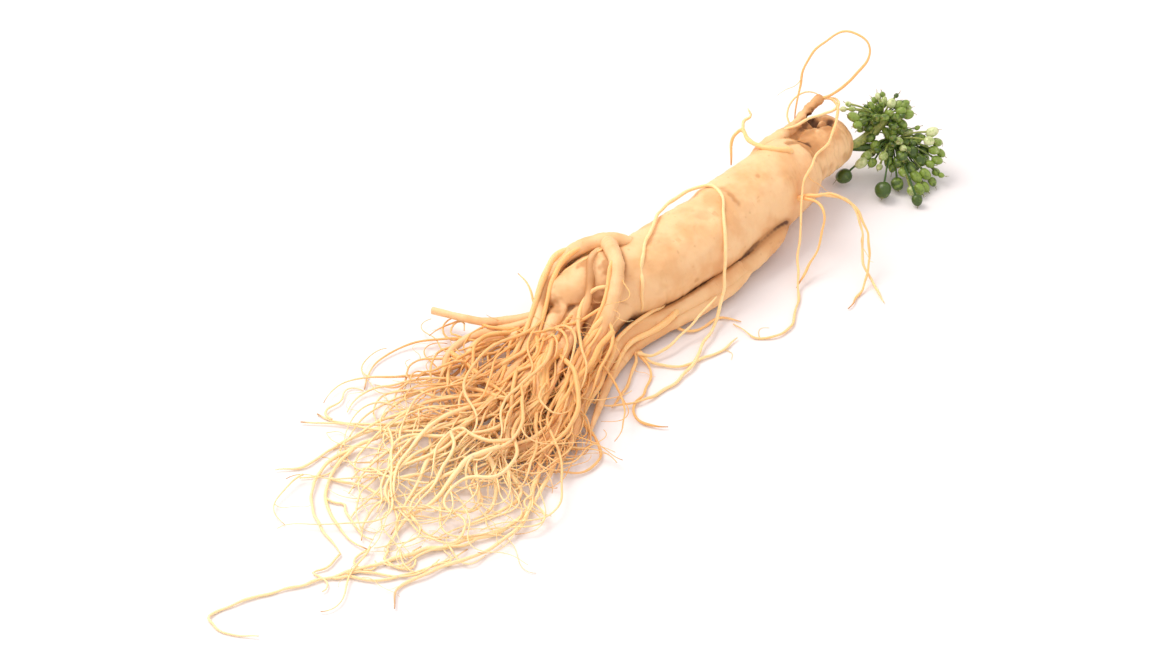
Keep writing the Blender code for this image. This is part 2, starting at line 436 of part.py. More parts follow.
# First and last ring of a berry, as shares of half a turn from its foot to its tip.
BERRY_ENDS = (0.1, 0.92)
BERRY_LENGTH = 1.18
BERRY_FLATNESS = 0.08

# Edges bent by more degrees than this are shaded as edges.
SHARP_ANGLE = 40.0


def smooth_route(points, count, samples=8):
    """Stations an even distance apart on a smooth curve through the points, radius and all."""
    rows = np.array(points, float)
    step = np.linalg.norm(np.diff(rows[:, :3], axis=0), axis=1)
    along = np.concatenate([[0.0], np.cumsum(step)])
    slope = np.gradient(rows, along, axis=0)
    fine = np.linspace(0.0, along[-1], count * samples)
    k = np.clip(np.searchsorted(along, fine, side="right") - 1, 0, len(step) - 1)
    h = step[k][:, None]
    t = ((fine - along[k]) / step[k])[:, None]
    curve = (
        (2 * t**3 - 3 * t**2 + 1) * rows[k]
        + (t**3 - 2 * t**2 + t) * h * slope[k]
        + (3 * t**2 - 2 * t**3) * rows[k + 1]
        + (t**3 - t**2) * h * slope[k + 1]
    )
    gone = np.concatenate([[0.0], np.cumsum(np.linalg.norm(np.diff(curve[:, :3], axis=0), axis=1))])
    wanted = np.linspace(0.0, gone[-1], count)
    return np.stack([np.interp(wanted, gone, column) for column in curve.T], axis=1)


def route_length(points):
    """Length of the straight runs between a route's points."""
    rows = np.array(points, float)[:, :3]
    return float(np.linalg.norm(np.diff(rows, axis=0), axis=1).sum())


def frames_along(centres):
    """Two directions square to the curve at each station, carried along it without twist."""
    tangents = np.gradient(centres, axis=0)
    tangents /= np.linalg.norm(tangents, axis=1)[:, None]
    first = np.zeros_like(centres)
    side = np.cross(tangents[0], (0.0, 0.0, 1.0) if abs(tangents[0][2]) < 0.9 else (1.0, 0.0, 0.0))
    for i, tangent in enumerate(tangents):
        side = side - tangent * (side @ tangent)
        side /= np.linalg.norm(side)
        first[i] = side
    return first, np.cross(tangents, first)


def skin_faces(count, sides):
    """Faces that join rings of points into one closed tube with a cap on each end."""
    faces = [list(range(sides))[::-1], [(count - 1) * sides + j for j in range(sides)]]
    for i in range(count - 1):
        for j in range(sides):
            low, near = i * sides, (j + 1) % sides
            faces.append([low + j, low + near, low + sides + near, low + sides + j])
    return faces


def add_solid(name, rings, material):
    """An object whose surface joins the rings, given in millimetres, with its faces pointing out."""
    mesh = bpy.data.meshes.new(name)
    mesh.from_pydata((rings.reshape(-1, 3) * MM).tolist(), [], skin_faces(*rings.shape[:2]))
    shell = bmesh.new()
    shell.from_mesh(mesh)
    bmesh.ops.recalc_face_normals(shell, faces=shell.faces)
    shell.to_mesh(mesh)
    shell.free()
    mesh.materials.append(material)
    obj = bpy.data.objects.new(name, mesh)
    bpy.context.scene.collection.objects.link(obj)
    return obj


def tube_rings(stations, sides):
    """Rings with each round section's area, square to the curve and kept above the floor."""
    turn = 2 * math.pi / sides
    radii = stations[:, 3] * math.sqrt(turn / math.sin(turn))
    centres = stations[:, :3].copy()
    centres[:, 2] = np.maximum(centres[:, 2], radii + FLOOR_GAP)
    across, up = frames_along(centres)
    angles = np.arange(sides) * turn
    spokes = across[:, None] * np.cos(angles)[:, None] + up[:, None] * np.sin(angles)[:, None]
    return centres[:, None] + radii[:, None, None] * spokes


def body_rings():
    """The body's rings: stations closer together at its ends, with rings, lobes and scars by formula."""
    rows = np.array(BODY_ROUTE)[::-1]
    middle, half = (rows[0, 0] + rows[-1, 0]) / 2, (rows[-1, 0] - rows[0, 0]) / 2
    x = middle - half * np.cos(np.linspace(0.0, math.pi, BODY_STATIONS))
    dense = smooth_route(rows, BODY_SAMPLES)
    y, z, r = (np.interp(x, dense[:, 0], dense[:, i]) for i in (1, 2, 3))
    angle = (np.arange(BODY_SIDES) + 0.5) * 2 * math.pi / BODY_SIDES
    x, y, z, r = (v[:, None] for v in (x, y, z, r))
    radius = r + RING_HEIGHT * np.cos(2 * math.pi * x / RING_SPACING + RING_WAVE * np.cos(angle))
    for share, number, twist, turn in LOBES:
        radius = radius + share * r * np.cos(number * angle + x / twist + turn)
    for scar_x, degrees, depth, width in SCARS:
        turn = (angle - math.radians(degrees) + math.pi) % (2 * math.pi) - math.pi
        gap = np.hypot(x - scar_x, r * turn)
        radius = radius - depth * np.exp(-((gap / width) ** 2))
    radius = np.maximum(radius, LEAST_RADIUS)
    height = np.maximum(z + radius * np.cos(angle), 0.0)
    return np.stack([np.broadcast_to(x, radius.shape), y - radius * np.sin(angle), height], axis=2)


def rootlet_stations(radius, places, parents):
    """Stations of one rootlet of the fan: it leaves the nearest root and thins evenly towards its tip."""
    path = smooth_route(places, max(ROOTLET_LEAST, round(route_length(places) / ROOTLET_STEP)))
    parent = parents[np.argmin(np.linalg.norm(parents[:, :3] - path[0], axis=1))]
    u = np.linspace(0, 1, len(path))
    ease = np.clip(u / ROOTLET_JOINING, 0, 1)
    path += (parent[:3] - path[0]) * (1 - ease * ease * (3 - 2 * ease))[:, None]
    return np.column_stack([path, radius + (ROOTLET_TIP_RADIUS - radius) * u])


def berry_rings(centre, outward, radius):
    """A berry as rings along its outward axis: a plump egg, slightly flattened on two sides."""
    outward = outward / np.linalg.norm(outward)
    across = np.cross(outward, (0.3, 0.2, 1.0))
    across /= np.linalg.norm(across)
    up = np.cross(outward, across)
    lean = np.linspace(*BERRY_ENDS, BERRY_RINGS) * math.pi
    angles = np.arange(BERRY_SIDES) * 2 * math.pi / BERRY_SIDES
    width = radius * np.sin(lean)[:, None] * (1 + BERRY_FLATNESS * np.cos(2 * angles))
    along = -radius * BERRY_LENGTH * np.cos(lean)
    return (
        centre
        + along[:, None, None] * outward
        + (width * np.cos(angles))[:, :, None] * across
        + (width * np.sin(angles))[:, :, None] * up
    )


def pedicel_stations(name, centre):
    """A pedicel from inside the flared end of its branch to its berry, bowed a little upwards."""
    before, heart = (np.array(row[:3]) for row in STALKS[name][-2:])
    inward = (before - heart) / np.linalg.norm(before - heart)
    outward = (centre - heart) / np.linalg.norm(centre - heart)
    foot = heart + PEDICEL_SUNK * inward + PEDICEL_LEAN * outward
    t = np.linspace(0, 1, PEDICEL_STATIONS)[:, None]
    path = foot + (centre - foot) * t + np.array((0.0, 0.0, PEDICEL_BOW)) * np.sin(math.pi * t)
    return np.column_stack([path, np.full(PEDICEL_STATIONS, PEDICEL_RADIUS)])


def keep_largest_shell(obj):
    """Removes what fusing leaves over: sealed hollows and loose scraps."""
    shell = bmesh.new()
    shell.from_mesh(obj.data)
    left, islands = set(shell.verts), []
    while left:
        reach, island = [left.pop()], []
        while reach:
            vert = reach.pop()
            island.append(vert)
            near = {edge.other_vert(vert) for edge in vert.link_edges} & left
            left -= near
            reach.extend(near)
        islands.append(island)
    islands.sort(key=len)
    for island in islands[:-1]:
        bmesh.ops.delete(shell, geom=island, context="VERTS")
    shell.to_mesh(obj.data)
    shell.free()


def fuse(base, others):
    """Joins the others into the base with one Boolean union and removes them.

    The manifold solver is used because thin rootlets that run together leave edges with four faces
    under the exact one.
    """
    group = bpy.data.collections.new(base.name + "_pieces")
    for obj in others:
        bpy.context.scene.collection.objects.unlink(obj)
        group.objects.link(obj)
    bpy.context.scene.collection.children.link(group)
    union = base.modifiers.new("fuse", "BOOLEAN")
    union.operation = "UNION"
    union.operand_type = "COLLECTION"
    union.collection = group
    union.solver = "MANIFOLD"
    graph = bpy.context.evaluated_depsgraph_get()
    fused = bpy.data.meshes.new_from_object(base.evaluated_get(graph))
    base.modifiers.clear()
    base.data = fused
    for obj in list(group.objects):
        bpy.data.objects.remove(obj)
    bpy.data.collections.remove(group)
    keep_largest_shell(base)
    base.data.shade_smooth()
    base.data.set_sharp_from_angle(angle=math.radians(SHARP_ANGLE))


def add_material(name, colour, roughness):
    """A plain Principled finish."""
    material = bpy.data.materials.new(name)
    material.use_nodes = True
    shader = material.node_tree.nodes["Principled BSDF"]
    shader.inputs["Base Color"].default_value = (*colour, 1.0)
    shader.inputs["Roughness"].default_value = roughness
    shader.inputs["Metallic"].default_value = 0.0
    return material


def build_root():
    """The root, grown in one piece: body, legs, threads and the fan of rootlets."""
    skin = add_material("root_skin", (0.78, 0.52, 0.26), 0.55)
    body = add_solid("root", body_rings(), skin)
    grown = []
    runs = []
    for name, route in LEGS.items():
        runs.append(smooth_route(route, max(LEG_LEAST, round(route_length(route) / LEG_STEP))))
        grown.append(add_solid(name, tube_rings(runs[-1], LEG_SIDES), skin))
    for name, route in THREADS.items():
        runs.append(smooth_route(route, max(THREAD_LEAST, round(route_length(route) / THREAD_STEP))))
        grown.append(add_solid(name, tube_rings(runs[-1], THREAD_SIDES), skin))
    for name, (radius, places) in ROOTLETS.items():
        runs.append(rootlet_stations(radius, places, np.concatenate(runs)))
        grown.append(add_solid(name, tube_rings(runs[-1], ROOTLET_SIDES), skin))
    fuse(body, grown)


def build_fruiting_stalk():
    """The green fruiting stalk: branches, pedicels and berries, grown in one piece."""
    green = add_material("stalk_green", (0.12, 0.24, 0.05), 0.4)
    pieces = []
    for name, route in STALKS.items():
        stations = smooth_route(route, STALK_STATIONS)
        heart = np.array(route[-1][:3])
        pieces.append(add_solid(f"branch_{name}", tube_rings(stations, STALK_SIDES), green))
        for index, (*place, radius) in enumerate(BERRIES[name]):
            centre = np.array(place)
            stations = pedicel_stations(name, centre)
            pieces.append(add_solid(f"pedicel_{name}_{index}", tube_rings(stations, PEDICEL_SIDES), green))
            rings = berry_rings(centre, centre - heart, radius)
            pieces.append(add_solid(f"berry_{name}_{index}", rings, green))
    base = pieces.pop(0)
    base.name = "fruiting_stalk"
    fuse(base, pieces)


def main():
    for obj in list(bpy.data.objects):
        bpy.data.objects.remove(obj)
    build_root()
    build_fruiting_stalk()


main()
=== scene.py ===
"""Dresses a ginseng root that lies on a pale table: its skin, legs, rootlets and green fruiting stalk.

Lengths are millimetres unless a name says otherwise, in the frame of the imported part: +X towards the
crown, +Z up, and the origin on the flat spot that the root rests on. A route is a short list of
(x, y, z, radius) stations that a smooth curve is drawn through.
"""

import logging
import math
from dataclasses import dataclass, field
from enum import Enum

import bpy
import numpy as np
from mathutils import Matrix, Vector


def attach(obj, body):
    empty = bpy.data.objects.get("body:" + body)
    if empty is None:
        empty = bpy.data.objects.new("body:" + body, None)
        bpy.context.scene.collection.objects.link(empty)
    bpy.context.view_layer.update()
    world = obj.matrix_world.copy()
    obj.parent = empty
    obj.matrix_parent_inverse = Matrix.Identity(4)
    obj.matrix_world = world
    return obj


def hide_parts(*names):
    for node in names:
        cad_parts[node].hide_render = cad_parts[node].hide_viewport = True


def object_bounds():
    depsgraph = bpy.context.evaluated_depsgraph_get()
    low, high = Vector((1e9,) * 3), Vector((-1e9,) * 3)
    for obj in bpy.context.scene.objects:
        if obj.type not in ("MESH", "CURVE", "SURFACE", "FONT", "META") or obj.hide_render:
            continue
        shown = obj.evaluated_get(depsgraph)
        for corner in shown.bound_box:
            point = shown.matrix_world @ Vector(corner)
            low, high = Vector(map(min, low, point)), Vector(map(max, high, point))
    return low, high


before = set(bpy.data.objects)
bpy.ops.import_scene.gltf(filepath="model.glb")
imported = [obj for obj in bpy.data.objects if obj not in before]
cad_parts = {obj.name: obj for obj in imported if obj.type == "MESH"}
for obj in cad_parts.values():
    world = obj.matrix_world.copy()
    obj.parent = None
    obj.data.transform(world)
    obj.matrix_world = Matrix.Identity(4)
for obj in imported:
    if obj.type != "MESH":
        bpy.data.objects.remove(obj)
CAD_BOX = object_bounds()

LOG = logging.getLogger("ginseng")
Array = np.ndarray
Route = list[tuple[float, ...]]
Socket = bpy.types.NodeSocket
Node = bpy.types.Node
Material = bpy.types.Material
Mesh = bpy.types.Mesh
Draw = np.random.Generator

MM = 0.001
GOLDEN_RATIO = (math.sqrt(5) - 1) / 2
SEED = 71
# Distances are measured in blocks of about this many pairs, to save memory.
BLOCK_SIZE = 4_000_000
# Round sections keep at least this height over the table.
FLOOR_GAP = 0.08

# The body: stations from the tip of the crown dome down to where the legs part.
BODY_ROUTE = [
    (64.8, 2.2, 14.6, 1), (64, 2.2, 14.6, 4.4), (61.6, 2.1, 14.8, 7.6), (58, 2, 15, 9.4),
    (53, 2, 15.3, 10.2), (48, 1.8, 15.3, 10.1), (44, 1.2, 15.2, 9.3), (41.6, 0.9, 15, 9),
    (39, 0.8, 14.9, 10.5), (35, 0.7, 14.7, 12.2), (28, 0.5, 14.4, 13.2), (18, 0.1, 13.9, 13.9),
    (4, 0, 13.4, 13.9), (-14, 0, 13.4, 14), (-31, 0.8, 13.4, 13.9), (-42, 2, 13.3, 13.6),
    (-52, 5.2, 13.2, 13.2), (-60, 9.4, 13, 11.8), (-66, 12.2, 12.8, 9.6), (-70.6, 14, 12.6, 7),
    (-73.6, 15.2, 12.4, 4.2), (-75.2, 15.8, 12.2, 1.4),
]

# Thick roots: the legs, the side leg under the body and the roots wrapped over its lower end.
LEGS = {
    "leg_middle": [(-56, 6, 12, 6), (-70, 4.4, 11.4, 4), (-83, -1, 11, 3.1), (-95, -3, 10, 2.8),
        (-106, -11, 7, 2.4), (-118, -11, 5.4, 1.9), (-130, -17, 3.4, 1.4), (-142, -14, 2.4, 0.9)],
    "leg_near": [(-54, 0, 11, 6), (-68, -2, 10, 4), (-80, -9, 8.4, 3.1), (-93, -12, 7.4, 2.8),
        (-105, -20, 5, 2.4), (-117, -21, 3.8, 1.8), (-128, -16, 3, 1.3), (-139, -18, 2.2, 0.8)],
    "leg_far": [(-62, 11, 12, 5), (-73, 10, 12.4, 3.4), (-84, 6.4, 10.6, 2.6), (-95, 0.4, 8.6, 2.3),
        (-106, 1.4, 6.6, 2), (-118, -1, 5.2, 1.6), (-131, 4, 3.8, 1.2), (-145, 3, 2.2, 0.8)],
    "leg_low": [(-56, 2, 8, 5.4), (-70, -4, 6, 3.5), (-84, -11, 5, 2.7), (-98, -18, 4, 2.2),
        (-114, -23, 3.2, 1.7), (-132, -25, 2, 0.9)],
    "side_leg": [(20, -8, 11, 3.6), (8, -12.6, 8.4, 4.2), (-8, -13.8, 6, 3.9), (-26, -13.2, 5.4, 3.6),
        (-44, -10.8, 5.4, 3.2), (-62, -8.8, 5, 2.8), (-79, -13, 4.4, 2.3), (-94, -19, 3.8, 1.9),
        (-108, -27, 3, 1.4), (-122, -33, 2, 0.8)],
    "side_leg_branch": [(0, -14.4, 6.4, 1.9), (-14, -16.8, 4.4, 2.1), (-31, -16.2, 3.6, 2.1),
        (-47, -13.6, 3.4, 1.9), (-63, -12.4, 3, 1.7), (-78, -16.6, 2.8, 1.5), (-93, -24, 2.4, 1.1),
        (-106, -31, 1.8, 0.8)],
    "wrap_band": [(-40, 10, 18, 3.2), (-45.4, 13.6, 23.6, 2.9), (-50, 8, 26.2, 2.7), (-54.5, 1.8, 25.8, 2.6),
        (-59.5, -2.4, 22.4, 2.5), (-66, -5.4, 18, 2.4), (-75, -8, 13.6, 2.3), (-88, -12, 10.4, 2.1),
        (-100, -18, 7.4, 1.8), (-114, -24, 4.4, 1.3), (-128, -28, 2.6, 0.8)],
    "wrap_arc": [(-38, 4.6, 21, 2.8), (-44.6, 11.6, 25, 2.7), (-52, 17.6, 24, 2.6), (-61, 20.4, 21, 2.5),
        (-69, 18.6, 17.4, 2.4), (-77, 14.6, 14, 2.2), (-88, 9, 11, 1.9), (-100, 5, 8.6, 1.6),
        (-114, 6, 5.4, 1.2), (-130, 12, 3, 0.8)],
    "wrap_inner": [(-49, 13.4, 23, 1.8), (-57, 10.6, 24.2, 1.6), (-62.5, 6, 22.8, 1.5), (-68, 2.4, 19, 1.4),
        (-76, -0.6, 15.4, 1.3), (-88, -5.6, 12.4, 1.1), (-102, -11.4, 9.2, 0.9), (-116, -15, 6.4, 0.7)],
    "loop_inner": [(-70, 12, 12, 3.2), (-80, 9.6, 11.4, 2.5), (-87, 15, 8.4, 2.1), (-92, 23, 6.2, 1.9),
        (-99, 24.4, 5, 1.8), (-106, 17, 4.4, 1.7), (-107, 7.6, 4.8, 1.7), (-101, 2, 6.4, 1.7)],
    "loop_outer": [(-70, 13, 12.4, 2.4), (-80, 15.6, 10.4, 1.9), (-88, 23.4, 7, 1.5), (-96, 29.6, 5, 1.3),
        (-104, 30, 3.8, 1.2), (-112, 25, 3, 1.1), (-120, 17, 2.6, 0.9), (-124, 8, 2.6, 0.8)],
    "cut_root": [(-70, 12, 13, 2.6), (-78, 16, 11.4, 1.8), (-84, 22, 9.4, 1.5), (-89, 29, 8, 1.35),
        (-92, 38, 7, 1.3), (-94.5, 47, 6.2, 1.3)],
    "crown_stub": [(24, 9.7, 22.2, 1.6), (28.5, 9.5, 22.4, 2.4), (33.5, 9, 22.6, 2.9), (38.7, 8.2, 23.4, 2.9),
        (46.4, 7.8, 25.2, 2.2), (52.7, 8.3, 26.6, 1.8), (57.7, 8.4, 28.4, 1.5), (60, 8.1, 29.4, 1.5)],
}

# The stub is all in the body's own skin, and the cut root doesn't taper off.
WHOLE_STUB = "crown_stub"
CUT_ROOT = "cut_root"

# Single thin roots that the eye picks out, from their thick end to their tip.
THREADS = {
    "over_body": [(-51, -5, 6, 0.9), (-52.4, -7.4, 12.4, 0.8), (-52, -6.9, 18.6, 0.75),
        (-49, -3.9, 23.6, 0.75), (-43, 0.1, 26.6, 0.75), (-34, 4.6, 27.6, 0.75), (-23, 9.6, 26.4, 0.75),
        (-13, 11, 25.6, 0.75), (-5.4, 9.2, 26.4, 0.75), (-3.2, 4.4, 27.8, 0.75), (-6, -1.4, 28.2, 0.75),
        (-12.4, -8.2, 25.6, 0.75), (-18.4, -14.2, 19, 0.75), (-24, -18.6, 10, 0.75), (-31, -22, 4, 0.7),
        (-44, -27, 1.7, 0.65), (-60, -31.6, 1, 0.65), (-74, -31, 1, 0.6), (-84, -27, 1.6, 0.6),
        (-92, -19, 3, 0.6)],
    "shoulder_curl": [(31, -2.4, 25.4, 1.5), (28.4, -1.2, 27.8, 1.35), (26.4, 0.6, 28.4, 1.25),
        (25.3, 3.2, 28.2, 1.2), (25, 5.9, 27.8, 1.1), (25.6, 9.4, 27, 1), (27.6, 14, 26, 0.9),
        (30, 19, 25.6, 0.8), (28.6, 21.4, 23.6, 0.7), (24, 18, 14.6, 0.6)],
    "shoulder_curl_tip": [(29.6, 18, 25.8, 0.8), (33, 21, 27.4, 0.6), (36.5, 20, 28.6, 0.55),
        (37, 22, 30, 0.5)],
    "crown_loop": [(59, 8.2, 29, 0.8), (60.7, 5.2, 30.6, 0.7), (62.2, 2.6, 33.6, 0.7), (64.6, -1, 38.4, 0.6),
        (67, -4, 44, 0.6), (69.6, -4.6, 49.6, 0.5), (69.6, 0, 53.4, 0.5), (67.4, 6, 53.4, 0.5),
        (62.4, 11, 49.4, 0.5), (57.4, 13.4, 42.4, 0.5), (52.6, 12.6, 33, 0.5), (46.6, 9, 25.8, 0.5)],
    "crown_drop": [(59, 8.2, 29, 0.8), (60.7, 4.4, 30, 0.7), (59.4, 0.2, 29, 0.6), (55.6, -2.3, 27, 0.6),
        (47.5, -6, 24.9, 0.6), (36.5, -8.9, 25, 0.6), (28.6, -11.4, 23.8, 0.6), (22.3, -14.1, 19.4, 0.5),
        (14.6, -20, 13, 0.5), (6, -26, 6, 0.5), (-2, -33, 1.2, 0.5), (-12, -39.4, 0.8, 0.5),
        (-22, -42, 0.8, 0.5), (-29, -36, 0.8, 0.5), (-28.6, -27, 0.8, 0.5)],
    "crown_cross": [(38.7, 9.8, 24.4, 0.8), (42.7, 5.9, 27.2, 0.6), (49.4, 3.7, 28.2, 0.6),
        (55.2, 2.5, 27.6, 0.6), (58.1, 0.9, 28, 0.6), (60.6, 0.9, 29, 0.6), (61.6, 3.5, 30.2, 0.6),
        (60.4, 5.6, 30.4, 0.6)],
    "shoulder_loop": [(22, -11, 16, 1.2), (25, -17, 19, 0.8), (28, -24, 20.6, 0.65), (29.4, -32, 18, 0.55),
        (26.4, -39.6, 12, 0.55), (20, -45, 4.6, 0.5), (13, -48, 0.9, 0.5), (3, -50, 0.8, 0.5)],
    "shoulder_loop_far": [(26, -19, 19.8, 0.7), (29.4, -28, 19.6, 0.55), (27, -36.4, 13, 0.5),
        (21.4, -42, 5, 0.5), (18.4, -49, 1, 0.5), (14, -57, 0.8, 0.5)],
    "shoulder_loop_near": [(23, -13.4, 17.4, 0.8), (21.4, -24, 18.4, 0.55), (17, -27.6, 12.6, 0.5),
        (8.4, -29, 4.6, 0.5), (0, -31, 1.4, 0.5)],
    "floor_branch_far": [(-44.5, -12, 3, 0.8), (-43, -17, 1.4, 0.6), (-40, -19.5, 0.9, 0.55),
        (-35.5, -20.5, 0.8, 0.55), (-30, -21, 0.8, 0.5), (-27.5, -24, 0.8, 0.5), (-25.5, -28, 0.8, 0.5)],
    "floor_branch_near": [(-62, -15, 3.2, 0.8), (-62, -19.5, 1.6, 0.6), (-60, -23.5, 1, 0.55),
        (-57.5, -27.5, 0.9, 0.55), (-53, -29.5, 0.8, 0.55), (-48, -30.5, 0.8, 0.5), (-44, -32, 0.8, 0.5),
        (-40, -33, 0.8, 0.5), (-36, -32.5, 0.8, 0.5), (-33, -32.5, 0.8, 0.5)],
    "floor_branch_hook": [(-62.5, -14.5, 3.2, 0.8), (-63.5, -19, 1.6, 0.6), (-65.5, -22.5, 1, 0.55),
        (-69.5, -25.5, 0.9, 0.55), (-74.5, -28, 0.8, 0.5), (-80, -29, 0.8, 0.5), (-83.5, -31, 0.8, 0.5),
        (-85.5, -34.5, 0.8, 0.5), (-85, -38.5, 0.8, 0.5), (-83.5, -42, 0.8, 0.5), (-81.5, -44, 0.8, 0.5)],
    "floor_branch_down": [(-62.5, -13, 3.4, 0.9), (-64.5, -16, 2, 0.7), (-69.5, -18.5, 1.4, 0.65),
        (-75, -21.5, 1.1, 0.6), (-81, -23.5, 1, 0.55), (-86.5, -24.5, 1, 0.5)],
    "side_strand": [(-64, -15.5, 4, 0.8), (-60.5, -18.5, 2.8, 0.6), (-56.5, -19.5, 2.6, 0.55),
        (-52, -20, 3, 0.55), (-47, -20, 4, 0.55), (-42.5, -20.5, 5.4, 0.5), (-38.5, -20.5, 7, 0.5),
        (-34.5, -21, 8.6, 0.5), (-30.5, -21, 10.4, 0.5)],
    "side_loop": [(-94, -15.6, 5.4, 0.9), (-99, -24, 3.4, 0.7), (-102, -32, 1.6, 0.6), (-107, -38, 1.2, 0.55),
        (-116, -37.4, 1.1, 0.5), (-123, -31, 1.6, 0.5)],
    "sweep_long": [(-112, -26.4, 3.6, 1.1), (-126, -33, 2.2, 0.9), (-138, -37, 1.6, 0.85),
        (-151, -37.4, 1.4, 0.8), (-164, -31, 1.4, 0.8), (-178, -23.4, 1.2, 0.75), (-193, -16, 1, 0.65),
        (-209, -8, 0.8, 0.55), (-225, 0, 0.7, 0.5), (-235, 1.4, 0.7, 0.5), (-235.6, -5, 0.7, 0.5),
        (-230, -15, 0.7, 0.5)],
    "sweep_short": [(-112, -20.4, 3.8, 1.1), (-128, -30.4, 2.8, 0.9), (-146, -40.4, 1.8, 0.8),
        (-162, -39.6, 1.4, 0.7), (-178, -33.6, 1.2, 0.6), (-190, -31.6, 1, 0.55), (-196, -36, 0.8, 0.5)],
    "left_arc": [(-128, 9.4, 3, 1), (-150, 20.6, 2.2, 0.8), (-166, 23, 1.6, 0.7), (-178, 17.4, 1.2, 0.6),
        (-186, 6, 1, 0.55), (-190, -8, 0.8, 0.5)],
    "left_tip": [(-130, 12, 2.6, 0.9), (-146, 24, 1.6, 0.7), (-160, 27.6, 1, 0.55), (-171, 28, 0.8, 0.5),
        (-178, 33.4, 0.8, 0.5)],
}

